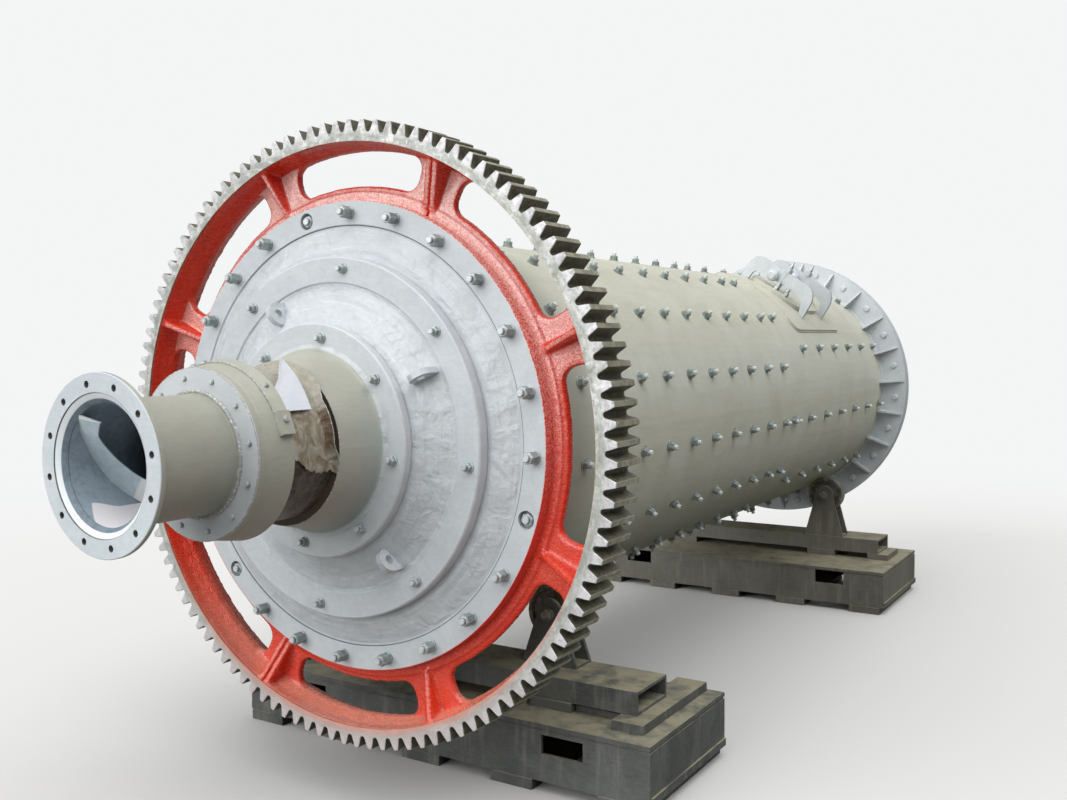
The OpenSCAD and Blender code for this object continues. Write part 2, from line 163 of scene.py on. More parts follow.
def turned_ring(bm, profile, steps, angle=360.0, start=0.0):
    """Spins a closed profile of (radius, station) about the drum axis, in mm."""
    turn = Matrix.Rotation(-math.radians(start), 4, "Y")
    verts = [bm.verts.new(turn @ Vector((r, s, 0))) for r, s in profile]
    edges = [bm.edges.new((verts[i], verts[(i + 1) % len(verts)])) for i in range(len(verts))]
    full = abs(angle) >= 359.9
    made = bmesh.ops.spin(
        bm, geom=verts + edges, cent=(0, 0, 0), axis=(0, -1, 0), angle=math.radians(angle),
        steps=steps, use_merge=full, use_duplicate=False)
    if not full:
        bmesh.ops.contextual_create(bm, geom=edges)
        last = [e for e in made["geom_last"] if isinstance(e, bmesh.types.BMEdge)]
        bmesh.ops.contextual_create(bm, geom=last)


def bar(bm, outline, thickness, place):
    """A flat plate from an outline of (x, y) points, thick along its own Z, centred."""
    verts = [bm.verts.new((x, y, -thickness / 2)) for x, y in outline]
    face = bm.faces.new(verts)
    grown = bmesh.ops.extrude_face_region(bm, geom=[face])
    moved = [v for v in grown["geom"] if isinstance(v, bmesh.types.BMVert)]
    bmesh.ops.translate(bm, vec=(0, 0, thickness), verts=moved)
    bmesh.ops.transform(bm, matrix=place, verts=verts + moved)


def evaluated(mesh, *modifiers):
    """The mesh after modifiers, given as (type, settings) pairs."""
    holder = linked("holder", mesh)
    for kind, settings in modifiers:
        made = holder.modifiers.new(kind.lower(), kind)
        for key, value in settings.items():
            setattr(made, key, value)
    shown = holder.evaluated_get(bpy.context.evaluated_depsgraph_get())
    result = bpy.data.meshes.new_from_object(shown)
    bpy.data.objects.remove(holder)
    return result


def cut_out(mesh, tool_mesh):
    """The mesh with the shape of a second one cut out of it."""
    tool = linked("tool", tool_mesh)
    result = evaluated(mesh, ("BOOLEAN", {"object": tool, "solver": "EXACT"}))
    bpy.data.objects.remove(tool)
    return result


def onto_drum(bm):
    """Turns the normals outward and takes a shape from mm about the axis to its place."""
    turn_outward(bm)
    bmesh.ops.transform(bm, matrix=drum_frame(), verts=bm.verts)


# Materials
RIM_IN = 1091


def tone(red, green, blue):
    """A colour given as it shows on a screen, 0 to 255, as a linear one."""
    def linear(c):
        c /= 255
        return c / 12.92 if c <= 0.04045 else ((c + 0.055) / 1.055) ** 2.4
    return (linear(red), linear(green), linear(blue), 1.0)


class Graph:
    """Short calls for building a node tree; at, coat and marks are groups that many share."""

    def __init__(self, tree):
        self.tree = tree

    @cached_property
    def at(self):
        return self.place(drum_position)

    @cached_property
    def coat(self):
        return self.place(brushed_coat)

    @cached_property
    def marks(self):
        return self.place(stains)

    def put(self, socket, value):
        if isinstance(value, bpy.types.NodeSocket):
            self.tree.links.new(value, socket)
        else:
            socket.default_value = value

    def add(self, kind, inputs=None, **settings):
        made = self.tree.nodes.new(kind)
        for key, value in settings.items():
            setattr(made, key, value)
        for key, value in (inputs or {}).items():
            self.put(made.inputs[key], value)
        return made

    def math(self, operation, a, b=0.0, clamp=False):
        made = self.add("ShaderNodeMath", {0: a, 1: b}, operation=operation, use_clamp=clamp)
        return made.outputs[0]

    def times(self, first, *others):
        for value in others:
            first = self.math("MULTIPLY", first, value)
        return first

    def rest(self, value):
        """What a share leaves of one."""
        return self.math("SUBTRACT", 1.0, value)

    def mix(self, factor, a, b):
        """Between two colours: sockets, tones 0 to 255, or linear ones of four numbers."""
        a, b = (tone(*c) if isinstance(c, tuple) and len(c) == 3 else c for c in (a, b))
        made = self.add("ShaderNodeMix", {0: factor, 6: a, 7: b}, data_type="RGBA")
        return made.outputs[2]

    def noise(self, point, scale, detail=3.0, rough=0.55, distortion=0.0):
        made = self.add("ShaderNodeTexNoise", {
            "Vector": point, "Scale": scale, "Detail": detail, "Roughness": rough,
            "Distortion": distortion})
        return made.outputs[0]

    def cells(self, point, scale, smooth):
        made = self.add("ShaderNodeTexVoronoi", {
            "Vector": point, "Scale": scale, "Smoothness": smooth}, feature="SMOOTH_F1")
        return made.outputs[0]

    def ramp(self, value, low, high, out_low=0.0, out_high=1.0):
        made = self.add("ShaderNodeMapRange", {
            0: value, 1: low, 2: high, 3: out_low, 4: out_high},
            interpolation_type="SMOOTHSTEP")
        return made.outputs[0]

    def spread(self, value, out_low, out_high):
        """A noise value spread over a range."""
        return self.ramp(value, 0.3, 0.7, out_low, out_high)

    def strokes(self, out_low, out_high):
        """The coat's brush strokes spread over a range."""
        return self.spread(self.coat["Strokes"], out_low, out_high)

    def coated(self, thin, thick):
        """One tone where the coat is thin, another where it is thick."""
        return self.mix(self.coat["Mask"], thin, thick)

    def marked(self, clean, stained):
        return self.mix(self.marks["Mask"], clean, stained)

    def band(self, value, rise, fall):
        """One between two soft edges, each given by where it starts and ends."""
        return self.times(self.ramp(value, *rise), self.ramp(value, *fall))

    def point(self):
        return self.add("ShaderNodeTexCoord").outputs["Object"]

    def normal(self):
        """The three parts of the surface's direction, in the drum's or stand's axes."""
        coords = self.add("ShaderNodeTexCoord").outputs
        return self.add("ShaderNodeSeparateXYZ", {0: coords["Normal"]}).outputs

    def stretched(self, point, scale):
        made = self.add("ShaderNodeMapping", {"Vector": point, "Scale": scale},
                        vector_type="POINT")
        return made.outputs[0]

    def place(self, group, **inputs):
        made = self.add("ShaderNodeGroup", node_tree=group)
        for key, value in inputs.items():
            self.put(made.inputs[key], value)
        return made.outputs


def effect(name, inputs, outputs, build):
    """A shader node group with named number inputs and named outputs."""
    tree = bpy.data.node_groups.new(name, "ShaderNodeTree")
    for label, value in inputs.items():
        made = tree.interface.new_socket(label, in_out="INPUT", socket_type="NodeSocketFloat")
        made.default_value = value
    for label, kind in outputs.items():
        tree.interface.new_socket(label, in_out="OUTPUT", socket_type="NodeSocket" + kind)
    graph = Graph(tree)
    ins = tree.nodes.new("NodeGroupInput").outputs
    outs = tree.nodes.new("NodeGroupOutput").inputs
    for label, socket in build(graph, ins).items():
        tree.links.new(socket, outs[label])
    return tree


def build_drum_position(g, ins):
    """Where a point on the drum is: lengths in metres, its angle in degrees."""
    point = g.point()
    parts = g.add("ShaderNodeSeparateXYZ", {0: point}).outputs
    height = g.math("SUBTRACT", parts[2], AXIS_Z)
    radius = g.math("SQRT", g.math("ADD", g.times(parts[0], parts[0]), g.times(height, height)))
    turn = g.math("ARCTAN2", height, parts[0])
    station = g.math("SUBTRACT", parts[1], GEAR_FACE_Y)
    before = g.math("SUBTRACT", HEAD_FACE * MM, station)
    behind = g.math("SUBTRACT", station, REAR_FACE * MM)
    depth = g.math("MAXIMUM", before, behind)
    rolled = g.add("ShaderNodeCombineXYZ", {0: turn, 1: station, 2: radius}).outputs[0]
    return {"Radius": radius, "Degrees": g.times(turn, 180 / math.pi),
            "High": g.math("SINE", turn), "Station": station, "Depth": depth,
            "Rolled": rolled, "Point": point}


def build_rough_casting(g, ins):
    """Height of a sand casting: broad lumps, patches of grain and small pits."""
    point = g.point()
    lumps = g.noise(point, 14.0, 2.0, 0.5, 0.6)
    patches = g.noise(point, 55.0, 4.0, 0.6)
    pits = g.ramp(g.cells(point, 160.0, 0.7), 0.0, 0.45)
    coarse = g.times(lumps, ins["Lumps"])
    fine = g.times(patches, ins["Grain"])
    small = g.times(pits, ins["Pits"])
    height = g.math("ADD", g.math("ADD", coarse, fine), small)
    return {"Height": height}


def build_brushed_coat(g, ins):
    """Brush strokes and thick and thin patches of a paint coat."""
    point = g.point()
    broad = g.noise(point, 3.5, 4.0, 0.6, 0.8)
    strokes = g.noise(g.stretched(point, (1.0, 1.0, 7.0)), 22.0, 3.0, 0.6, 0.4)
    mask = g.math("ADD", g.times(broad, 0.65), g.times(strokes, 0.35))
    return {"Mask": g.ramp(mask, 0.3, 0.7), "Strokes": strokes}


def build_settled_dust(g, ins):
    """Dust that lies on faces that look up, in patches."""
    patches = g.noise(g.point(), 9.0, 5.0, 0.65)
    lying = g.ramp(g.normal()[2], 0.25, 0.95)
    mask = g.times(g.ramp(patches, 0.25, 0.62), lying)
    return {"Mask": g.math("MULTIPLY", mask, ins["Amount"], clamp=True)}


def build_stains(g, ins):
    """Blotches of oil and handling marks on bare metal."""
    point = g.point()
    large = g.noise(point, 11.0, 5.0, 0.65, 1.2)
    small = g.noise(point, 48.0, 4.0, 0.6, 0.5)
    mask = g.math("ADD", g.times(large, 0.6), g.times(small, 0.4))
    return {"Mask": g.ramp(mask, 0.42, 0.6), "Fine": small}


drum_position = effect(
    "drum_position", {}, {"Radius": "Float", "Degrees": "Float", "High": "Float",
                          "Station": "Float", "Depth": "Float", "Rolled": "Vector",
                          "Point": "Vector"}, build_drum_position)
rough_casting = effect("rough_casting", {"Lumps": 1.0, "Grain": 0.4, "Pits": 0.15},
                       {"Height": "Float"}, build_rough_casting)
brushed_coat = effect("brushed_coat", {}, {"Mask": "Float", "Strokes": "Float"},
                      build_brushed_coat)
settled_dust = effect("settled_dust", {"Amount": 1.0}, {"Mask": "Float"}, build_settled_dust)
stains = effect("stains", {}, {"Mask": "Float", "Fine": "Float"}, build_stains)


def finish_material(build):
    """Turns a function that says what feeds a Principled shader into that material."""
    material = bpy.data.materials.new(build.__name__)
    material.use_nodes = True
    graph = Graph(material.node_tree)
    shader = next(n for n in material.node_tree.nodes if n.type == "BSDF_PRINCIPLED")
    for key, value in build(graph).items():
        if key == "Height":
            height, distance = value
            bump = graph.add("ShaderNodeBump", {"Height": height, "Distance": distance,
                                                "Strength": 1.0})
            graph.put(shader.inputs["Normal"], bump.outputs[0])
        else:
            graph.put(shader.inputs[key], value)
    return material


HEAD_TONE = (211, 216, 220)
HEAD_SHADE = (198, 204, 209)
NECK_TONE = (180, 181, 169)
NECK_SHADE = (165, 167, 154)
SHELL_TONE = (206, 207, 193)
SHELL_DUSTY = (192, 192, 175)


def head_colour(g):
    base = g.coated(HEAD_SHADE, HEAD_TONE)
    return g.mix(g.times(g.marks["Mask"], 0.22), base, (176, 182, 184))


@finish_material
def drum_end_paint(g):
    """Blue-grey head paint, a warm grey neck and a bare greased journal, by place."""
    paint = head_colour(g)
    cast = g.place(rough_casting, Lumps=1.0, Grain=0.3, Pits=0.03)
    neck = g.times(g.ramp(g.at["Depth"], 0.182, 0.19), g.ramp(g.at["Radius"], 0.365, 0.35))
    journal = g.times(g.ramp(g.at["Depth"], 0.3465, 0.3475),
                      g.ramp(g.at["Radius"], 0.2595, 0.2585))
    # the head's blue paint has strayed onto the neck near the disc; the same greener tint,
    # stronger below, is painted shade
    stray_paint_and_shade = g.times(g.ramp(g.at["High"], 0.75, 0.0, 0.0, 0.75),
                      g.ramp(g.at["Depth"], 0.31, 0.21, 0.15, 1.0))
    neck_tone = g.mix(stray_paint_and_shade, g.coated(NECK_SHADE, NECK_TONE), (166, 175, 172))
    steel = g.marked((96, 88, 76), (52, 44, 36))
    colour = g.mix(neck, paint, neck_tone)
    colour = g.mix(journal, colour, steel)
    wall = g.times(g.ramp(g.at["Depth"], 0.3435, 0.3445), g.ramp(g.at["Radius"], 0.2830, 0.2820))
    colour = g.mix(g.times(wall, g.rest(journal)), colour, (92, 76, 60))
    # the dished faces are rough, the faces under bolts are machined
    dish = g.band(g.at["Radius"], (0.781, 0.771), (0.330, 0.335))
    flat_mid = g.band(g.at["Radius"], (0.574, 0.577), (0.690, 0.672))
    rough = g.times(dish, g.rest(g.times(flat_mid, 0.85)))
    # the paint of the gear runs over the edge of the front head
    edge = g.times(g.ramp(g.at["Radius"], 0.8795, 0.8815), g.ramp(g.at["Station"], 0.2, 0.1))
    # painted sheen: pale pink specks on the red edge, more towards the top
    speck = g.ramp(g.noise(g.at["Point"], 150.0, 2.0, 0.5), 0.42, 0.58)
    pale = g.times(g.ramp(g.at["High"], -0.5, 0.5, 0.1, 0.9), speck)
    colour = g.mix(edge, colour, g.mix(pale, (222, 70, 50), (246, 214, 206)))
    sweeps = g.noise(g.stretched(g.at["Rolled"], (2.5, 8.0, 40.0)), 1.0, 4.0, 0.6, 1.2)
    shade = g.times(g.ramp(sweeps, 0.5, 0.34, 0.0, 0.32), rough)
    colour = g.mix(g.times(shade, g.rest(neck)), colour, (168, 176, 178))
    light = g.times(g.ramp(sweeps, 0.56, 0.7, 0.0, 0.4), rough)
    colour = g.mix(g.times(light, g.rest(neck)), colour, (228, 232, 234))
    # painted shade: the groove inside the bolt circle is darkened, least at the upper left, and
    # the bore is painted dark further in
    groove_shade = g.band(g.at["Radius"], (0.7885, 0.7895), (0.7935, 0.7925))
    groove_shade = g.times(groove_shade, g.ramp(g.at["Degrees"], 110, 145, 0.8, 0.25))
    colour = g.mix(groove_shade, colour, (66, 74, 76))
    colour = g.mix(g.ramp(g.at["Radius"], 0.215, 0.2), colour, (48, 50, 54))
    height = g.times(g.math("SUBTRACT", cast["Height"], 0.665),
                     g.math("ADD", g.times(rough, 0.9), 0.1))
    gloss = g.strokes(0.38, 0.52)
    return {"Base Color": colour, "Roughness": gloss, "Height": (height, 0.011)}


@finish_material
def head_paint(g):
    paint = head_colour(g)
    cast = g.place(rough_casting, Lumps=0.15, Grain=0.1, Pits=0.04)
    return {"Base Color": paint, "Roughness": g.strokes(0.38, 0.5),
            "Height": (cast["Height"], 0.003)}


@finish_material
def neck_paint(g):
    cast = g.place(rough_casting, Lumps=0.5, Grain=0.15, Pits=0.05)
    colour = g.coated(NECK_SHADE, NECK_TONE)
    return {"Base Color": colour, "Roughness": g.strokes(0.45, 0.6),
            "Height": (cast["Height"], 0.0025)}


@finish_material
def ring_paint(g):
    """Head paint on the ring's face, and the warm grey of the sleeve on its edge."""
    cast = g.place(rough_casting, Lumps=0.2, Grain=0.12, Pits=0.04)
    edge = g.times(g.ramp(g.at["Radius"], 0.279, 0.2805), g.ramp(g.at["Depth"], 0.702, 0.698))
    colour = g.coated(HEAD_SHADE, HEAD_TONE)
    colour = g.mix(edge, colour, g.coated(NECK_SHADE, NECK_TONE))
    return {"Base Color": colour, "Roughness": g.strokes(0.4, 0.55),
            "Height": (cast["Height"], 0.003)}


@finish_material
def shell_paint(g):
    runs = g.noise(g.stretched(g.at["Rolled"], (1.2, 9.0, 1.0)), 3.0, 5.0, 0.6, 0.3)
    plate = g.noise(g.stretched(g.at["Rolled"], (5.0, 0.7, 1.0)), 2.4, 3.0, 0.5)
    colour = g.coated(SHELL_DUSTY, SHELL_TONE)
    colour = g.mix(g.ramp(runs, 0.4, 0.8, 0.0, 0.22), colour, (212, 211, 200))
    colour = g.mix(g.ramp(plate, 0.5, 0.8, 0.0, 0.25), colour, (180, 174, 154))
    # painted highlight: a paler band along the side; painted shade: darker below
    degrees = g.at["Degrees"]
    side_sheen = g.band(degrees, (-4.0, 12.0), (36.0, 18.0))
    side_sheen = g.times(side_sheen, g.spread(runs, 0.28, 0.48))
    colour = g.mix(side_sheen, colour, (214, 216, 208))
    lower_shade = g.band(degrees, (-12.0, -55.0), (-170.0, -130.0))
    colour = g.mix(g.times(lower_shade, g.spread(runs, 0.78, 0.64)), colour, (118, 120, 100))
    # painted shade: darkest behind the gear, where the gear shades it
    colour = g.mix(g.ramp(g.at["Station"], 0.70, 0.42, 0.0, 0.6), colour, (132, 134, 120))
    return {"Base Color": colour, "Roughness": g.spread(runs, 0.42, 0.6),
            "Height": (g.math("ADD", plate, g.times(g.coat["Strokes"], 0.12)), 0.003)}


@finish_material
def red_enamel(g):
    """Thick glossy red enamel over a rough casting, with a painted sheen of pale speckle where it
    looks up.
    """
    cast = g.place(rough_casting, Lumps=0.5, Grain=0.9, Pits=0.5)
    red = g.coated((214, 46, 24), (232, 68, 36))
    speck = g.noise(g.at["Point"], 170.0, 3.0, 0.65)
    grit = g.noise(g.at["Point"], 60.0, 3.0, 0.6)
    # painted sheen: the casting's face looks at the light all over, so it is painted paler pink
    # and speckled, more towards the top; its rim and ribs stay plain red
    near_rim = g.ramp(g.at["Radius"], RIM_IN * MM - 0.006, RIM_IN * MM - 0.02)
    normal = g.normal()
    ahead = g.ramp(g.math("ABSOLUTE", normal[1]), 0.8, 0.97)
    facing = g.times(near_rim, ahead, g.ramp(g.at["High"], -0.35, 0.6, 0.06, 0.95))
    sheen_pink = g.mix(g.ramp(g.at["High"], 0.1, 0.9), (230, 142, 130), (234, 184, 174))
    red = g.mix(g.times(facing, g.ramp(grit, 0.3, 0.6, 0.55, 0.95)), red, sheen_pink)
    red = g.mix(g.times(g.ramp(speck, 0.46, 0.62, 0.0, 0.75), facing), red, (246, 210, 204))
    red = g.mix(g.times(g.ramp(speck, 0.46, 0.36, 0.0, 0.6), facing), red, (206, 74, 56))
    # painted shade: a red-brown line runs along the step between the pad and the thinner web
    step = g.band(g.at["Radius"], (0.914, 0.918), (0.926, 0.922))
    red = g.mix(g.times(step, ahead, 0.75), red, (186, 40, 26))
    red = g.mix(g.ramp(g.marks["Fine"], 0.62, 0.75, 0.0, 0.4), red, (240, 112, 74))
    # the parts of the rim's inside that look up, low on the gear, are paler
    lying = g.times(g.ramp(normal[2], 0.3, 0.95, 0.0, 0.6), g.ramp(g.at["High"], -0.3, -0.8))
    red = g.mix(lying, red, (236, 170, 146))
    return {"Base Color": red, "Roughness": g.strokes(0.18, 0.32),
            "Height": (cast["Height"], 0.004), "Coat Weight": 0.5, "Coat Roughness": 0.08}


def rim_side_tone(g):
    """Colour of the teeth away from their end faces: beige tips and flanks darkened as painted
    shade.
    """
    flank_shade = g.mix(g.ramp(g.marks["Fine"], 0.35, 0.65), (88, 86, 74), (124, 120, 104))
    tip = g.marked((170, 168, 149), (139, 136, 117))
    on_tip = g.ramp(g.at["Radius"], (GEAR_TIP - 3.0) * MM, (GEAR_TIP - 1.5) * MM)
    return g.mix(on_tip, flank_shade, tip)


@finish_material
def rim_steel(g):
    """Machined steel: mottled end faces, flanks darkened as painted shade, beige tips, paint near
    the web.
    """
    fine = g.noise(g.at["Point"], 120.0, 3.0, 0.6)
    smear = g.noise(g.stretched(g.at["Rolled"], (9.0, 1.0, 30.0)), 1.6, 4.0, 0.6, 0.6)
    flakes = g.noise(g.at["Point"], 30.0, 4.0, 0.6, 0.5)
    outer = g.ramp(g.at["Radius"], 1.108, 1.145)
    face = g.mix(g.ramp(smear, 0.35, 0.65), (170, 174, 167), (208, 210, 205))
    face = g.mix(g.times(outer, 0.85), face, (228, 227, 231))
    face = g.mix(g.times(g.marks["Mask"], 0.4), face, (140, 144, 136))
    lower = g.times(g.at["High"], -1.0)
    crisp = g.ramp(lower, -0.2, 0.6, 0.6, 0.12)
    face = g.mix(g.times(g.ramp(flakes, 0.54, 0.66), crisp), face, (240, 240, 240))
    face = g.mix(g.times(g.ramp(flakes, 0.45, 0.36, 0.0, 0.7), crisp), face, (124, 126, 114))
    face = g.mix(g.ramp(lower, 0.5, 1.0, 0.0, 0.55), face, (214, 196, 194))
    face = g.mix(g.ramp(fine, 0.62, 0.72, 0.0, 0.5), face, (120, 120, 112))
    side = rim_side_tone(g)
    inner = g.times(g.ramp(g.at["Station"], 0.0015, 0.0025),
                    g.ramp(g.at["Station"], (GEAR_WIDTH - 1.5) * MM, (GEAR_WIDTH - 2.5) * MM))
    colour = g.mix(inner, face, side)
    # paint has strayed a little way onto the rim's end face, further at the bottom
    spray = g.noise(g.at["Point"], 6.0, 4.0, 0.6)
    reach = g.math("ADD", g.times(spray, 0.02), g.ramp(lower, 0.2, 1.0, 1.0815, 1.102))
    red_edge = g.ramp(g.math("SUBTRACT", reach, g.at["Radius"]), -0.008, 0.012)
    colour = g.mix(g.times(red_edge, 0.5), colour, (222, 124, 98))
    metal = g.times(g.rest(red_edge), g.math("SUBTRACT", 0.28, g.times(inner, 0.12)))
    return {"Base Color": colour, "Metallic": metal,
            "Roughness": g.spread(g.marks["Fine"], 0.36, 0.55),
            "Height": (g.math("ADD", fine, g.times(g.marks["Mask"], 0.5)), 0.0006)}


# painted highlight: the chamfers on the tooth edges are near white
@finish_material
def edge_highlight(g):
    colour = g.marked((242, 242, 242), (206, 206, 202))
    return {"Base Color": colour, "Roughness": g.spread(g.marks["Fine"], 0.3, 0.45)}


@finish_material
def fastener_paint(g):
    """Thin paint on steel, with a painted highlight on the faces that look to the gear end."""
    ahead = g.normal()[1]
    colour = g.marked((158, 168, 168), (128, 138, 138))
    colour = g.mix(g.ramp(ahead, -0.6, -0.9), colour, (214, 221, 222))
    return {"Base Color": colour, "Metallic": g.ramp(g.marks["Fine"], 0.4, 0.6, 0.1, 0.35),
            "Roughness": g.strokes(0.25, 0.42),
            "Height": (g.marks["Fine"], 0.0008)}


@finish_material
def liner_nut_paint(g):
    """Dull green-grey paint with bare spots on the nuts of the liner bolts."""
    colour = g.marked((150, 160, 156), (116, 128, 124))
    tips = g.ramp(g.at["Radius"], (SHELL_R + 24) * MM, (SHELL_R + 30) * MM)
    colour = g.mix(tips, colour, (214, 222, 220))
    colour = g.mix(g.ramp(g.marks["Fine"], 0.58, 0.68), colour, (196, 202, 200))
    return {"Base Color": colour, "Roughness": g.strokes(0.3, 0.48),
            "Height": (g.marks["Fine"], 0.0008)}


@finish_material
def stand_paint(g):
    """Old dark grey paint, worn to steel in places, with brown dust on top."""
    dust = g.place(settled_dust, Amount=0.9)
    upright = g.noise(g.stretched(g.point(), (1.0, 1.0, 0.12)), 26.0, 4.0, 0.6)
    base = g.coated((76, 79, 78), (106, 109, 106))
    base = g.mix(g.ramp(upright, 0.5, 0.75, 0.0, 0.5), base, (142, 142, 134))
    base = g.mix(g.ramp(g.marks["Fine"], 0.64, 0.74, 0.0, 0.7), base, (92, 66, 48))
    # the rear stand is a little paler and browner
    along = g.add("ShaderNodeSeparateXYZ", {0: g.point()}).outputs[1]
    base = g.mix(g.ramp(along, 0.2, 0.6, 0.0, 0.18), base, (166, 152, 122))
    colour = g.mix(dust["Mask"], base, (162, 156, 132))
    return {"Base Color": colour, "Metallic": g.ramp(g.marks["Mask"], 0.2, 0.9, 0.05, 0.2),
            "Roughness": g.spread(upright, 0.42, 0.62),
            "Height": (g.math("ADD", g.marks["Fine"], upright), 0.0012)}


@finish_material
def roller_steel(g):
    fine = g.noise(g.point(), 70.0, 4.0, 0.6)
    colour = g.marked((150, 148, 138), (104, 102, 92))
    return {"Base Color": colour, "Metallic": g.spread(fine, 0.35, 0.6),
            "Roughness": g.spread(fine, 0.38, 0.55), "Height": (fine, 0.0008)}


@finish_material
def outlet_inside(g):
    """Grey-blue paint on the vane."""
    colour = g.coated((186, 204, 214), (206, 220, 228))
    colour = g.mix(g.times(g.marks["Mask"], 0.3), colour, (150, 162, 168))
    # painted highlight along the start edge, and a painted pool of light at one place further in
    start = g.ramp(g.at["Station"], (OUTLET_FACE + 29) * MM, (OUTLET_FACE + 27) * MM)
    light_pool = g.band(g.at["Station"], (-0.812, -0.806), (-0.780, -0.786))
    colour = g.mix(g.math("MAXIMUM", start, light_pool), colour, (236, 240, 240))
    return {"Base Color": colour, "Roughness": g.strokes(0.35, 0.5),
            "Height": (g.marks["Fine"], 0.001)}


@finish_material
def tube_paint(g):
    """Warm grey outside; inside grey-blue with painted shade further in, and a painted pool of
    light along the floor near the mouth.
    """
    cast = g.place(rough_casting, Lumps=0.5, Grain=0.15, Pits=0.05)
    outside = g.coated((159, 160, 148), (174, 174, 162))
    inside = g.marked((166, 182, 194), (146, 160, 172))
    deep = g.math("SUBTRACT", g.at["Station"], OUTLET_FACE * MM)
    # painted shade: the inside darkens further into the bore
    inside = g.mix(g.ramp(deep, 0.16, 0.34), inside, (44, 46, 52))
    # a painted pool of light lies on the bore's floor inside a curved edge
    degrees = g.math("SUBTRACT", g.at["Degrees"], DRUM_TURN)
    slant = g.math("ADD", deep, g.times(degrees, 1.5 * MM))
    edge = g.ramp(deep, 0.069, 0.16, -138.0, -129.0)
    above = g.ramp(g.math("SUBTRACT", degrees, edge), -0.5, 0.5)
    floor_light_pool = g.times(above, g.ramp(degrees, -40.0, -44.0), g.ramp(slant, -0.140, -0.137),
                    g.ramp(deep, 0.262, 0.258))
    inside = g.mix(floor_light_pool, inside, (252, 248, 250))
    bore = g.ramp(g.at["Radius"], 0.1875, 0.1862)
    colour = g.mix(bore, outside, inside)
    return {"Base Color": colour, "Roughness": g.strokes(0.42, 0.58),
            "Height": (cast["Height"], 0.0025)}


@finish_material
def greasy_wrap(g):
    """Greasy brown wrapping with painted highlights on its folds, plain beige near the top."""
    folds = g.noise(g.stretched(g.at["Rolled"], (3.0, 13.0, 12.0)), 1.0, 2.5, 0.5, 2.4)
    fine = g.noise(g.at["Point"], 40.0, 3.0, 0.6, 0.6)
    colour = g.mix(g.ramp(folds, 0.36, 0.6), (138, 131, 111), (164, 162, 146))
    # painted highlight: paler on the crests of the folds
    colour = g.mix(g.ramp(folds, 0.60, 0.70, 0.0, 0.6), colour, (186, 183, 178))
    colour = g.mix(g.ramp(folds, 0.50, 0.47, 0.0, 0.25), colour, (124, 104, 82))
    below_sheet = g.ramp(g.at["Degrees"], 14, 27, 0.1, 0.65)
    colour = g.mix(g.times(g.ramp(g.marks["Mask"], 0.2, 0.9), below_sheet), colour,
                   (136, 112, 80))
    # its rear margin is dark with grease, with painted shade in its upturned curl
    margin = g.ramp(g.at["Station"], -0.362, -0.348)
    margin = g.times(margin, g.ramp(g.at["Degrees"], -4, 5, 0.15, 0.8))
    colour = g.mix(margin, colour, (96, 72, 52))
    high = g.ramp(g.at["Degrees"], 26.5, 31.5)
    colour = g.mix(high, colour, g.marked((170, 167, 153), (154, 150, 136)))
    return {"Base Color": colour, "Roughness": g.spread(fine, 0.22, 0.48),
            "Height": (g.math("ADD", g.times(fine, 0.5), g.times(folds, 3.0)), 0.003)}


@finish_material
def flange_paint(g):
    """Pale blue-grey on the outlet flange's face, warm grey on its edge and back."""
    face = g.coated((204, 212, 218), (216, 224, 229))
    warm = g.coated(NECK_SHADE, NECK_TONE)
    behind = g.ramp(g.at["Station"], (OUTLET_FACE + 2.5) * MM, (OUTLET_FACE + 4) * MM)
    outer = g.ramp(g.at["Radius"], 0.217, 0.218)
    colour = g.mix(g.times(behind, outer), face, warm)
    colour = g.mix(g.times(g.marks["Mask"], 0.18), colour, (178, 184, 184))
    # painted shade: dark in the step and on the walls of the holes, and a darker blue-grey where
    # the bore begins; painted highlight: paler on the cone
    inside = g.marked((122, 138, 150), (104, 118, 130))
    cone = g.band(g.at["Radius"], (0.1985, 0.2), (0.2155, 0.2145))
    colour = g.mix(cone, colour, (236, 242, 245))
    colour = g.mix(g.ramp(g.at["Radius"], 0.1985, 0.1975), colour, inside)
    line = g.band(g.at["Radius"], (0.2145, 0.2155), (0.2175, 0.2165))
    holes = g.times(g.band(g.at["Radius"], (0.231, 0.232), (0.256, 0.255)),
                    g.ramp(g.at["Station"], (OUTLET_FACE + 0.6) * MM, (OUTLET_FACE + 1.2) * MM))
    colour = g.mix(g.times(g.math("MAXIMUM", line, holes), 0.8), colour, (54, 60, 66))
    return {"Base Color": colour, "Roughness": g.strokes(0.38, 0.52),
            "Height": (g.marks["Fine"], 0.0012)}


@finish_material
def white_sheet(g):
    colour = g.coated((212, 217, 226), (226, 231, 238))
    return {"Base Color": colour, "Roughness": g.strokes(0.4, 0.5),
            "Height": (g.coat["Strokes"], 0.0008)}


@finish_material
def weld_and_highlight_paint(g):
    """Weld metal under a thin coat of paint, bright on its crests; the same bright beads along
    edges are painted highlights.
    """
    fine = g.noise(g.point(), 110.0, 3.0, 0.6)
    colour = g.mix(g.ramp(fine, 0.5, 0.66), (168, 170, 166), (226, 228, 228))
    return {"Base Color": colour, "Roughness": g.spread(fine, 0.35, 0.5), "Height": (fine, 0.002)}


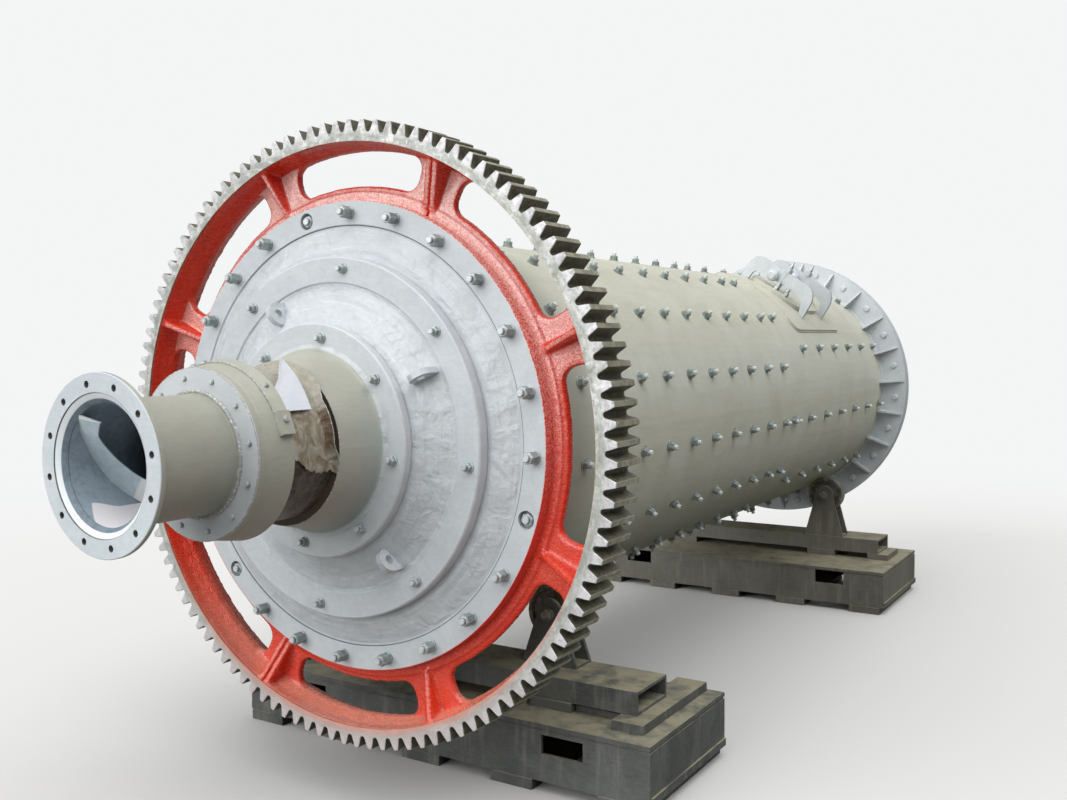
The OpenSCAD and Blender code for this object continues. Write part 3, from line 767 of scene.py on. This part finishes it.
FINISHES = (
    (drum_end_paint, "front_head rear_head front_trunnion rear_trunnion lifting_lugs"),
    (head_paint, "front_disc rear_disc shell_front_flange shell_rear_flange spout_flange"),
    (head_paint, "manhole_clamp_front manhole_clamp_rear"),
    (ring_paint, "sleeve_ring rear_ring"), (neck_paint, "front_sleeve rear_sleeve"),
    (tube_paint, "spout_tube"), (outlet_inside, "spout_flight"),
    (shell_paint, "shell manhole_pad manhole_cover"), (greasy_wrap, "journal_wrap"),
    (red_enamel, "gear_half_upper gear_half_lower"),
)
chosen = {name: finish for finish, names in FINISHES for name in names.split()}
for name, node in NODES.items():
    plain = roller_steel if "_roller_" in name else stand_paint
    node.data.materials.clear()
    node.data.materials.append(chosen.get(name, plain))


# Ring gear
WEB_IN = 784
PAD_OUT = 920
WEB_FACE = 93
WEB_BACK = 125
WINDOW_HALF = 17.2
WINDOW_IN = 941
WINDOW_OUT = 1070
WINDOW_CORNER = 52
PAD_FACE = 85
PAD_BACK = 133
CASTING_GRAIN = 6.5


def add_rib(bm, angle, thick, offset):
    """One rib across the web, from a squared foot on the pad to the rim, on both faces."""
    outline = [(PAD_OUT - 12, 90), (PAD_OUT - 12, 77), (PAD_OUT + 2, 75), (RIM_IN + 14, 4),
               (RIM_IN + 14, GEAR_WIDTH - 4), (PAD_OUT + 2, 143), (PAD_OUT - 12, 141),
               (PAD_OUT - 12, 128)]
    place = Matrix.Rotation(-math.radians(angle), 4, "Y") @ Matrix.Translation((0, 0, offset))
    bar(bm, outline, thick, place)


def gear_body(lower):
    """The cast body of one gear half: rim, root fillet, web with windows, pad and ribs."""
    start = SPLIT_ANGLE + (180 if lower else 0) + 0.02
    sweep = 180 - 0.04
    web = bmesh.new()
    turned_ring(web, [(WEB_IN, WEB_FACE), (RIM_IN + 12, WEB_FACE), (RIM_IN + 12, WEB_BACK),
                      (WEB_IN, WEB_BACK)], 64, sweep, start)
    turn_outward(web)
    holes = bmesh.new()
    for i in range(WINDOWS // 2):
        centre = start + (i + 0.5) * 360 / WINDOWS
        cut = bmesh.new()
        turned_ring(cut, [(WINDOW_IN, 40), (WINDOW_OUT, 40), (WINDOW_OUT, 200),
                          (WINDOW_IN, 200)], 12, 2 * WINDOW_HALF, centre - WINDOW_HALF)
        bmesh.ops.remove_doubles(cut, verts=cut.verts, dist=0.01)
        corners = [e for e in cut.edges
                   if abs(e.verts[0].co.y - e.verts[1].co.y) > 100 and len(e.link_faces) == 2
                   and e.calc_face_angle(0) > 1.2]
        bevel(cut, corners, WINDOW_CORNER, 7)
        turn_outward(cut)
        holes.from_mesh(baked(cut, "window"))
    body = bmesh.new()
    body.from_mesh(cut_out(baked(web, "web"), baked(holes, "holes")))
    turned_ring(body, [(RIM_IN, 1), (GEAR_ROOT - 6, 1), (GEAR_ROOT - 6, GEAR_WIDTH - 1),
                       (RIM_IN, GEAR_WIDTH - 1)], 128, sweep, start)
    turned_ring(body, [(RIM_IN + 5, 40), (RIM_IN + 5, 178), (RIM_IN - 3, 164),
                       (1072, WEB_BACK - 4), (1072, WEB_FACE + 4), (RIM_IN - 3, 56)],
                128, sweep, start)
    turned_ring(body, [(WEB_IN, PAD_FACE), (PAD_OUT, PAD_FACE), (PAD_OUT, PAD_BACK),
                       (WEB_IN, PAD_BACK)], 128, sweep, start)
    for i in range(1, WINDOWS // 2):
        add_rib(body, start + i * 360 / WINDOWS, 27, 0)
    add_rib(body, start, 30, 15)
    add_rib(body, start + 180, 30, -15)
    turn_outward(body)
    cast = evaluated(
        baked(body, "gear_body"), ("REMESH", {"mode": "VOXEL", "voxel_size": CASTING_GRAIN}),
        ("SMOOTH", {"factor": 0.5, "iterations": 7}))
    body = bmesh.new()
    body.from_mesh(cast)
    for v in body.verts:
        swell = noise.noise(v.co * 0.02) * 1.1 + noise.noise(v.co * 0.09) * 0.45
        v.co += v.normal * swell
    bmesh.ops.transform(body, matrix=drum_frame(), verts=body.verts)
    return body


# half of one tooth pitch as (radius, share of the pitch from the tooth's middle)
HALF_TOOTH = [(GEAR_TIP, 0.0), (GEAR_TIP, 0.135), (GEAR_TIP - 9, 0.19), (GEAR_TIP - 20, 0.25),
              (GEAR_TIP - 32, 0.305), (GEAR_TIP - 40, 0.35), (GEAR_ROOT + 1.5, 0.405),
              (GEAR_ROOT, 0.5)]


def radius_of(vert):
    return math.hypot(vert.co.x, vert.co.z)


def toothed_rim(lower):
    """The machined rim of one half, with its teeth."""
    bm = bmesh.new()
    pitch = 360 / GEAR_TEETH
    start = SPLIT_ANGLE + (180 if lower else 0)
    profile = [(r, -share) for r, share in reversed(HALF_TOOTH)] + HALF_TOOTH[1:]
    profile += [(RIM_IN + 1.5, 0.5), (RIM_IN + 1.5, -0.5)]
    verts = []
    for r, share in profile:
        a = math.radians(start + (share + 0.5) * pitch)
        verts.append(bm.verts.new((r * math.cos(a), 0.0, r * math.sin(a))))
    face = bm.faces.new(verts)
    grown = bmesh.ops.extrude_face_region(bm, geom=[face])
    back = [v for v in grown["geom"] if isinstance(v, bmesh.types.BMVert)]
    bmesh.ops.translate(bm, vec=(0, GEAR_WIDTH, 0), verts=back)
    # the cut ends of the segment are open, so that the next one joins on
    for f in list(bm.faces):
        reach = [radius_of(v) for v in f.verts]
        if len(reach) == 4 and max(reach) < GEAR_ROOT + 1 and max(reach) - min(reach) > 20:
            bm.faces.remove(f)
    border = {v for v in bm.verts if abs(radius_of(v) - RIM_IN - 1.5) < 0.1}
    edges = [e for e in bm.edges
             if abs(e.verts[0].co.y - e.verts[1].co.y) < 0.01 and not e.is_boundary
             and not (e.verts[0] in border and e.verts[1] in border)]
    bevel(bm, edges, 2.0, material=1)
    turn_outward(bm)
    count = GEAR_TEETH // 2
    bmesh.ops.spin(bm, geom=bm.verts[:] + bm.edges[:] + bm.faces[:], cent=(0, 0, 0),
                   axis=(0, -1, 0), angle=math.radians(pitch * (count - 1)),
                   steps=count - 1, use_duplicate=True, use_merge=False)
    bmesh.ops.remove_doubles(bm, verts=bm.verts, dist=0.05)
    bmesh.ops.holes_fill(bm, edges=[e for e in bm.edges if e.is_boundary])
    onto_drum(bm)
    return bm


for half, lower in (("upper", False), ("lower", True)):
    body = piece("gear_casting_" + half, gear_body(lower), red_enamel, sharp=60)
    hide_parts("gear_half_" + half)
    teeth = piece("gear_teeth_" + half, toothed_rim(lower), rim_steel,
                  sharp=30)
    # the chamfers take the painted edge highlight
    teeth.data.materials.append(edge_highlight)


# Fasteners.
# Each is a list of posts: radius, bottom, top, sides and chamfer in mm.
# a long nut on a stud, whose end shows past it
TALL_NUT = [(24, 0, 4, 20, 1.2), (22.5, 4, 48, 6, 3.5), (13, 48, 60, 12, 2.5)]
BOLT_HEAD = [(21, 0, 4, 16, 1.2), (18, 4, 19, 6, 3.0), (11, 19, 34, 12, 2.5)]
SMALL_SCREW = [(9, 0, 9, 12, 3.0)]
FLUSH_NUT = [(25, -28, -5, 6, 3.5), (15, -5, 6, 12, 2.5)]
# a nut with its washer on the shell, and the end of the liner bolt
LINER_NUT = [(25, -2, 5, 12, 1.5), (20, 5, 26, 6, 3.0), (11, 26, 42, 8, 2.0)]
DOME_BOLT = [(24, -1, 4, 14, 1.0), (21, 4, 16, 14, 6.0)]
# the low rounded head on the lug block
BOSS = [(12, 0, 9, 20, 4.0)]
# a domed nut on the end of a clamp's cross bolt
CAP_NUT = [(36, 0, 26, 24, 1.0), (34, 26, 44, 24, 14.0)]
STUD_NUT = [(24, 0, 5, 14, 1.5), (20, 5, 27, 6, 3.0), (12, 27, 50, 10, 2.0)]
# the end of a clamp's stud over its nut, drawn to a point
CROWN_STUD = [(15, 0, 12, 12, 2.0), (11, 12, 46, 10, 0.0, 4)]
AXLE_NUT = [(30, 0, 5, 20, 1.2), (26, 5, 21, 6, 3.0)]

HEAD_BOLT_R = 838
REAR_BOLT_R = 873
MID_BOLT_R = 628
DISC_BOLT_R = 376
RING_SCREW_R = 248
REAR_MID_FACE = REAR_FACE + 81
REAR_DISC_FACE = REAR_FACE + 179
REAR_RING_FACE = REAR_FACE + 706
# rows of liner bolts over the front part, with one more by its joint, and behind it
FRONT_ROWS = 16
FRONT_ROW_ANGLE = 13.5
FRONT_ROW_START = 491
FRONT_PITCH = 251
JOINT_STATION = 2937
REAR_ROWS = 12
REAR_ROW_ANGLE = -8.9
REAR_ROW_START = 3194
REAR_PITCH = 311
# the manhole: the angle and station of its middle, and the stations of its clamps
HATCH = 53.8
HATCH_STATION = 3681
CLAMPS = (3489, 3873)


def fasteners(name, posts, places, finish=fastener_paint):
    shape = small_part(posts)
    bm = bmesh.new()
    for place in places:
        stamp(bm, shape, place)
    piece(name, bm, finish, sharp=28)


def spun(place, degrees):
    """The same place with the fastener turned about its own axis."""
    return place @ Matrix.Rotation(math.radians(degrees), 4, "Z")


def bolt_circle(first, count, radius, station, facing, turn=0):
    """Places evenly round a circle, each fastener turned further than the one before."""
    return [spun(on_drum(first + 360 / count * i, radius, station, facing), turn * i)
            for i in range(count)]


FLUSH = (101.4, 341.4, 221.4)
tall = [a for a in (11.4 + 15 * i for i in range(24))
        if min(abs(a % 360 - f) for f in FLUSH) > 1]
fasteners("head_bolts", TALL_NUT,
          [spun(on_drum(a, HEAD_BOLT_R, HEAD_FACE, "front"), 17 * i)
           for i, a in enumerate(tall)])
fasteners("flush_bolts", FLUSH_NUT, [on_drum(a, HEAD_BOLT_R, HEAD_FACE, "front") for a in FLUSH])
for name, posts, circle in (
        ("trunnion_bolts", BOLT_HEAD, (37.3, 8, MID_BOLT_R, MID_FACE, "front", 23)),
        ("disc_bolts", BOLT_HEAD, (36, 8, DISC_BOLT_R, DISC_FACE, "front", 31)),
        ("ring_screws", SMALL_SCREW, (9.7, 12, RING_SCREW_R, RING_FACE, "front")),
        ("rear_head_bolts", TALL_NUT, (9.4, 24, REAR_BOLT_R, REAR_FACE, "rear", 17)),
        ("rear_trunnion_bolts", BOLT_HEAD, (37.3, 8, MID_BOLT_R, REAR_MID_FACE, "rear", 23)),
        ("rear_disc_bolts", BOLT_HEAD, (36, 8, DISC_BOLT_R, REAR_DISC_FACE, "rear", 31)),
        ("rear_ring_screws", SMALL_SCREW, (9.7, 12, RING_SCREW_R, REAR_RING_FACE, "rear"))):
    fasteners(name, posts, bolt_circle(*circle))
fasteners("rear_flange_bolts", DOME_BOLT,
          bolt_circle(9.4, 24, REAR_BOLT_R, SHELL_REAR - 45, "front"), head_paint)

liner_places = []
for row in range(FRONT_ROWS):
    angle = FRONT_ROW_ANGLE + 360 / FRONT_ROWS * row
    for k in range(10):
        station = FRONT_ROW_START + FRONT_PITCH * k
        liner_places.append(spun(on_drum(angle, SHELL_R, station), 29 * (row + k)))
    if row != 0:
        liner_places.append(spun(on_drum(angle, SHELL_R, JOINT_STATION), 41 * row))
for row in range(REAR_ROWS):
    angle = REAR_ROW_ANGLE + 360 / REAR_ROWS * row
    for k in range(-1 if row == 0 else 0, 6):
        station = REAR_ROW_START + REAR_PITCH * k
        near_hatch = abs((angle - HATCH + 180) % 360 - 180) < 27 and 3160 < station < 4190
        if not near_hatch:
            liner_places.append(spun(on_drum(angle, SHELL_R, station), 37 * (row + k)))
fasteners("liner_bolts", LINER_NUT, liner_places, liner_nut_paint)


# Outlet
FLANGE_R = 276
FLANGE_THICK = 18
FLANGE_BOLT_R = 243.5


def drum_point(angle, radius, station):
    """A point in metres from an angle in degrees, a radius and a station in mm."""
    turn = math.radians(angle + DRUM_TURN)
    return axis_point(station) + Vector((math.cos(turn), 0, math.sin(turn))) * radius * MM


def loft(bm, sections):
    """Joins closed rings of points into a solid with capped ends."""
    rings = [[bm.verts.new(p) for p in ring] for ring in sections]
    for one, two in zip(rings, rings[1:]):
        for i in range(len(one)):
            j = (i + 1) % len(one)
            bm.faces.new((one[i], one[j], two[j], two[i]))
    bm.faces.new(rings[0])
    bm.faces.new(rings[-1])
    turn_outward(bm)


def curve_through(knots, x):
    """A value read off a list of (x, y) knots, straight between them."""
    for (x0, y0), (x1, y1) in zip(knots, knots[1:]):
        if x <= x1:
            share = max(0.0, (x - x0) / (x1 - x0))
            return y0 + (y1 - y0) * share
    return knots[-1][1]


def vane():
    """The spiral ribbon in the outlet bore; its free edge trails the root at the start."""
    bm = bmesh.new()
    sections = []
    steps = 84
    for i in range(steps + 1):
        turned = 150 * (i / steps) ** 1.25
        depth = OUTLET_FACE + 20 + 740 * turned / 360
        root = 126 + turned + curve_through([(0, 1), (16, 7), (70, 7), (105, 1), (150, 0)],
                                            turned)
        free = root - curve_through([(0, 25), (5, 19), (12, 12), (40, 10), (70, 10), (100, 3),
                                     (150, 2)], turned)
        tip = curve_through([(0, 126), (5, 114), (11, 109), (150, 109)], turned)
        swell = noise.noise(Vector((turned * 0.05, 3.1, 0))) * 1.5
        rim = depth + swell
        ring = [(root, 184.5, depth), (root, 184.5, depth + 8), (free, tip + 4, rim + 15),
                (free, tip, rim + 13), (free, tip, rim + 9), (free, tip + 4, rim + 7)]
        sections.append([drum_point(*p) for p in ring])
    loft(bm, sections)
    made = piece("outlet_vane", bm, outlet_inside, sharp=40)
    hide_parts("spout_flight")


def bead(name, path, radius, finish, closed=True, seed=0.0, sides=6):
    """A run of weld metal, or a bright bead that stands as a painted highlight on an edge, along
    a list of points in metres, uneven like the real one.
    """
    bm = bmesh.new()
    count = len(path)
    rings = []
    for i, here in enumerate(path):
        after = path[(i + 1) % count] if closed or i + 1 < count else here
        before = path[i - 1] if closed or i else here
        along = (after - before).normalized()
        out = here - axis_point(0)
        out.y = 0
        side = along.cross(out).normalized()
        lift = side.cross(along).normalized()
        size = radius * MM * (1 + 0.22 * noise.noise(here * 90 + Vector((seed, 0, 0))))
        rings.append([bm.verts.new(here + side * size * math.cos(t) + lift * size * math.sin(t))
                      for t in (2 * math.pi * k / sides for k in range(sides))])
    last = count if closed else count - 1
    for i in range(last):
        one, two = rings[i], rings[(i + 1) % count]
        for k in range(sides):
            j = (k + 1) % sides
            bm.faces.new((one[k], one[j], two[j], two[k]))
    if not closed:
        bm.faces.new(rings[0])
        bm.faces.new(rings[-1])
    turn_outward(bm)
    piece(name, bm, finish, sharp=180)


def circle_path(radius, station, count):
    return [drum_point(360 * i / count, radius, station) for i in range(count)]


def outlet_flange():
    """The thin end flange with its shallow step and the ring that joins it to the tube."""
    bm = bmesh.new()
    profile = [(185.2, 27), (197, 14), (199, 12.5), (213, 4), (216, 3.5), (216, 0),
               (FLANGE_R - 2, 0), (FLANGE_R, 2), (FLANGE_R, FLANGE_THICK - 2),
               (FLANGE_R - 2, FLANGE_THICK), (199, FLANGE_THICK), (195.5, 21),
               (195.2, 29.5), (185.2, 29.5)]
    turned_ring(bm, [(r, OUTLET_FACE + depth) for r, depth in profile], 144)
    bmesh.ops.remove_doubles(bm, verts=bm.verts, dist=0.01)
    turn_outward(bm)
    drill = bmesh.new()
    shape = small_part([(11, -30, 10, 24)])
    for i in range(12):
        turn = math.radians(9.5 + DRUM_TURN + 30 * i)
        place = Matrix.Translation((FLANGE_BOLT_R * math.cos(turn), OUTLET_FACE,
                                    FLANGE_BOLT_R * math.sin(turn)))
        stamp(drill, shape, place @ Matrix.Rotation(math.radians(90), 4, "X"))
    turn_outward(drill)
    mesh = cut_out(baked(bm, "blank"), baked(drill, "drills"))
    mesh.transform(drum_frame())
    made = mesh_piece("outlet_flange", mesh, flange_paint, sharp=30)
    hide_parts("spout_flange")


def seam_filler():
    """The paint-filled seam between the ring and the sleeve behind it."""
    bm = bmesh.new()
    turned_ring(bm, [(277, -635.5), (280.8, -635.5), (283.4, -630), (277, -630)], 144)
    onto_drum(bm)
    piece("ring_seam", bm, neck_paint, sharp=30)


outlet_flange()
vane()
bead("tube_weld", circle_path(204, RING_FACE - 3, 260), 7.5, weld_and_highlight_paint)
# painted highlight: a bright bead along the ring's edge
bead("ring_edge_line", circle_path(279.6, RING_FACE + 1.6, 200), 2.0, weld_and_highlight_paint,
     seed=2.0)
seam_filler()
# painted highlight: a bright bead along the strap's front edge
bead("strap_edge_line", [drum_point(12 + 156 * i / 90, 296.6, -580) for i in range(91)], 2.2,
     weld_and_highlight_paint, closed=False, seed=3.0)
# painted highlight: a bright bead along the neck's front edge
bead("neck_edge_line", circle_path(283, -305.5, 200), 2.2, weld_and_highlight_paint, seed=4.0)
bead("outlet_weld", circle_path(197, OUTLET_FACE + 21, 160), 4.5, weld_and_highlight_paint,
     seed=5.0)


# Sleeve strap and lug block
def strap():
    """A flat strap along the rear edge of the sleeve, closed by a block with a bolt."""
    bm = bmesh.new()
    turned_ring(bm, [(288, -580), (295.5, -580), (297, -578), (304.5, -531), (298, -531)],
                72, 142, 26 + DRUM_TURN)
    onto_drum(bm)
    bmesh.ops.create_cube(
        bm, size=1.0, matrix=on_drum(18.9, 301, -556) @ Matrix.Diagonal((50, 78, 22, 1)))
    piece("sleeve_strap", bm, neck_paint, sharp=30)
    fasteners("strap_boss", BOSS, [on_drum(20.6, 311, -556)], weld_and_highlight_paint)
    fasteners("strap_bolts", SMALL_SCREW,
              [on_drum(a, 300, -557) for a in (46, 104, 152)])


strap()


# Wrapping on the journal
WRAP_FLOOR = 258.5


def cloth(name, rows, columns, at, thick, finish):
    """A thin sheet: at(u, v) gives angle, radius and station in mm for u, v from 0 to 1."""
    bm = bmesh.new()
    bmesh.ops.create_grid(bm, x_segments=columns, y_segments=rows, size=0.5)
    for v in bm.verts:
        angle, radius, station = at(v.co.x + 0.5, v.co.y + 0.5)
        v.co = drum_point(angle, radius, station)
    middle = max(bm.faces, key=lambda f: f.calc_center_median().z)
    if middle.normal.z < 0:
        bmesh.ops.reverse_faces(bm, faces=bm.faces)
    mesh = evaluated(baked(bm, name), ("SOLIDIFY", {"thickness": thick * MM, "offset": 1.0}))
    made = mesh_piece(name, mesh, finish, sharp=80)
    return made


def wrap_place(u, v):
    """The greasy wrap: ragged below, folded along the turn, its rear edge turned up."""
    lower = curve_through([(-545, 0), (-494, -5), (-466, -11), (-417, -15), (-374, -19),
                           (-343, -15), (-300, -20)], -545 + 238 * v)
    lower += 2.5 * noise.noise(Vector((v * 19, 0.5, 0)))
    upper = 168 + 9 * noise.noise(Vector((v * 7, 4.5, 0)))
    angle = lower + (upper - lower) * u
    body = curve_through([(-10, 208), (4, 198), (40, 198), (60, 214)], angle)
    margin = curve_through([(-10, 30), (2, 14), (34, 14), (46, 34), (60, 34)], angle)
    station = -545 + body * min(1.0, v / 0.86) + margin * max(0.0, (v - 0.86) / 0.14)
    fold = noise.noise(Vector((angle * 0.022, station * 0.034, 1.0)))
    crease = noise.noise(Vector((angle * 0.06, station * 0.09, 7.0)))
    loose = min(1.0, max(0.0, (v - 0.16) / 0.2)) if v < 0.5 else 1.0
    radius = WRAP_FLOOR + 5 + loose * (7.0 * abs(fold) + 3.0 * abs(crease))
    turned_up = max(0.0, (v - 0.86) / 0.14)
    radius += turned_up ** 1.2 * curve_through([(-18, 12), (-3, 19), (14, 20), (36, 20),
                                                (46, 27), (60, 31)], angle)
    near_end = max(0.0, 1 - u / 0.06)
    radius += 6 * near_end * (0.6 + noise.noise(Vector((v * 9, 2.0, 0))))
    return angle, radius, station


def white_place(u, v):
    """The stiff white sheet: flat, so that its pointed upper end stands off the wrap."""
    angle = 28 + 41.5 * u
    left = curve_through([(28, -536), (30, -534), (44.5, -519), (54.3, -463), (65.3, -417),
                          (69.5, -392)], angle)
    right = curve_through([(28, -397), (44, -377), (56.5, -370), (65.5, -377), (69.5, -386)],
                          angle)
    station = left + (right - left) * v
    radius = (WRAP_FLOOR + 18) / math.cos(math.radians(angle - 39))
    curl = 5 * max(0.0, 1 - v / 0.2) * u
    return angle, radius + curl + 1.0 * noise.noise(Vector((u * 3, v * 3, 0))), station


wrap = cloth("journal_cloth", 60, 150, wrap_place, 1.5, greasy_wrap)
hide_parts("journal_wrap")
# painted highlight: a bright bead along the wrap's turned-up edge
bead("wrap_edge_line", [drum_point(*wrap_place(0.015 + 0.36 * i / 80, 1.0)) for i in range(81)],
     1.6, weld_and_highlight_paint, closed=False, seed=6.0)
cloth("white_sheet", 18, 30, white_place, 1.2, white_sheet)


# Manhole
fasteners("clamp_cap_nuts", CAP_NUT,
          [on_drum(HATCH + 4.1, 876, y - 13, "front") for y in CLAMPS], head_paint)
fasteners("cover_nuts", STUD_NUT,
          [spun(on_drum(HATCH + a, 815, y - 34), 15 * i)
           for y in CLAMPS for i, a in enumerate((-0.3, -5.2))])
fasteners("clamp_studs", CROWN_STUD, [on_drum(HATCH, 968, y) for y in CLAMPS])


def pad_outline(length, width, corner, radius, steps=10):
    """Points round a rounded rectangle bent to the shell, from its edges along the drum."""
    flat = []
    for cx, cy, first in ((1, 1, 0), (-1, 1, 90), (-1, -1, 180), (1, -1, 270)):
        for k in range(steps + 1):
            a = math.radians(first + 90 * k / steps)
            flat.append((cx * (length / 2 - corner) + corner * math.cos(a),
                         cy * (width / 2 - corner) + corner * math.sin(a)))
    dense = []
    for (x0, y0), (x1, y1) in zip(flat, flat[1:] + flat[:1]):
        count = max(1, int(math.hypot(x1 - x0, y1 - y0) / 12))
        dense += [(x0 + (x1 - x0) * k / count, y0 + (y1 - y0) * k / count) for k in range(count)]
    return [drum_point(HATCH + math.degrees(math.asin(y / radius)), radius, HATCH_STATION + x)
            for x, y in dense]


bead("pad_weld", pad_outline(934, 644, 92, 781), 5, shell_paint, seed=9.0)


# Stands
def base_ledges(name, y0, y1):
    """The ledge along the foot of each end of a base, whose sides are at two stations."""
    bm = bmesh.new()
    size = Matrix.Diagonal((9 * MM, (y1 - y0 - 12) * MM, 30 * MM, 1))
    for x in (-1044.5, 1044.5):
        centre = Vector((x * MM, GEAR_FACE_Y + (y0 + y1) / 2 * MM, 61 * MM))
        bmesh.ops.create_cube(bm, size=1.0, matrix=Matrix.Translation(centre) @ size)
    piece(name, bm, stand_paint, body="stand", sharp=30)


base_ledges("front_base_ledges", 498, 1218)
base_ledges("rear_base_ledges", 3881, 4751)


def on_stand(x, station, z, facing):
    """Matrix in mm for a part facing along the drum at a place on a stand."""
    turn = math.radians(90 if facing == "front" else -90)
    place = Matrix.Translation((x * MM, GEAR_FACE_Y + station * MM, z * MM))
    return place @ Matrix.Rotation(turn, 4, "X") @ Matrix.Scale(MM, 4)


def roller_nuts():
    """A nut on each end of the roller axles; they turn with the rollers."""
    shape = small_part(AXLE_NUT)
    for name in (n for n in NODES if "_roller_" in n):
        low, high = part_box(name)
        x, z = (low.x + high.x) / 2 / MM, (low.z + high.z) / 2 / MM
        bm = bmesh.new()
        for y, facing in ((low.y, "front"), (high.y, "rear")):
            stamp(bm, shape, on_stand(x, (y - GEAR_FACE_Y) / MM, z, facing))
        piece(name + "_nuts", bm, roller_steel, body=name + "_body", sharp=28)


roller_nuts()


# Floor, light, camera
BACKDROP = (0.905, 0.912, 0.915, 1)
SENSOR = 36.0
# the camera fitted to the photo
FOCAL_PX = 1059.59
PHOTO_WIDTH_PX = 1067


def stage_floor():
    """A pale floor that fades into the background away from the object."""
    bm = bmesh.new()
    bmesh.ops.create_grid(bm, x_segments=2, y_segments=2, size=60)
    mesh = baked(bm, "floor")
    floor = linked("floor", mesh)
    floor.location.z = -0.001
    material = bpy.data.materials.new("pale_floor")
    material.use_nodes = True
    tree = material.node_tree
    tree.nodes.clear()
    g = Graph(tree)
    seen = g.add("ShaderNodeLightPath").outputs["Is Camera Ray"]
    colour = g.mix(seen, (0.2, 0.2, 0.19, 1), (0.66, 0.66, 0.65, 1))
    paint = g.add("ShaderNodeBsdfDiffuse", {"Color": colour})
    far = g.add("ShaderNodeEmission", {"Color": BACKDROP, "Strength": 1.0})
    away = g.add("ShaderNodeVectorMath", {0: g.point()}, operation="LENGTH").outputs["Value"]
    fade = g.times(g.ramp(away, 3.0, 11.0), seen)
    both = g.add("ShaderNodeMixShader", {0: fade, 1: paint.outputs[0], 2: far.outputs[0]})
    out = g.add("ShaderNodeOutputMaterial")
    tree.links.new(both.outputs[0], out.inputs[0])
    mesh.materials.append(material)


def sky():
    """Soft light: brighter from above than from below, and a plain pale background."""
    world = bpy.data.worlds.new("soft_light")
    bpy.context.scene.world = world
    world.use_nodes = True
    tree = world.node_tree
    tree.nodes.clear()
    g = Graph(tree)
    way = g.add("ShaderNodeTexCoord").outputs["Generated"]
    rise = g.add("ShaderNodeSeparateXYZ", {0: way}).outputs[2]
    level = g.ramp(rise, 0.05, 0.9, 0.03, 0.70)
    light = g.add("ShaderNodeBackground", {"Color": (1.0, 1.0, 1.0, 1), "Strength": level})
    seen = g.add("ShaderNodeBackground", {"Color": BACKDROP, "Strength": 1.0})
    ray = g.add("ShaderNodeLightPath").outputs["Is Camera Ray"]
    both = g.add("ShaderNodeMixShader", {0: ray, 1: light.outputs[0], 2: seen.outputs[0]})
    out = g.add("ShaderNodeOutputWorld")
    tree.links.new(both.outputs[0], out.inputs[0])


def daylight(name, source, level, spread):
    """Soft light from a direction; level is how much it adds on a face turned to it."""
    data = bpy.data.lights.new(name, "SUN")
    data.energy = level * math.pi
    data.angle = math.radians(spread)
    made = linked(name, data)
    made.location = Vector(source).normalized() * 12
    made.rotation_mode = "QUATERNION"
    made.rotation_quaternion = (-Vector(source)).to_track_quat("-Z", "Y")


def photo_camera():
    data = bpy.data.cameras.new("camera")
    data.sensor_width = SENSOR
    data.lens = SENSOR * FOCAL_PX / PHOTO_WIDTH_PX
    data.clip_end = 200
    made = linked("camera", data)
    right = Vector((0.8463074, 0.5326347, -0.0080068))
    up = Vector((-0.0226578, 0.0510101, 0.9984411))
    back = right.cross(up)
    place = Matrix((right, up, back)).transposed().to_4x4()
    place.translation = axis_point(0) + Vector((2.72025, -2.95343, 0.35445))
    made.matrix_world = place
    bpy.context.scene.camera = made


stage_floor()
sky()
daylight("roof_light", (0.25, -0.1, 1.0), 0.42, 70)
daylight("window_light", (-0.35, -0.92, 0.35), 0.66, 50)
daylight("side_light", (0.65, -0.4, 0.9), 0.22, 50)
photo_camera()
bpy.context.scene.view_settings.view_transform = "Standard"
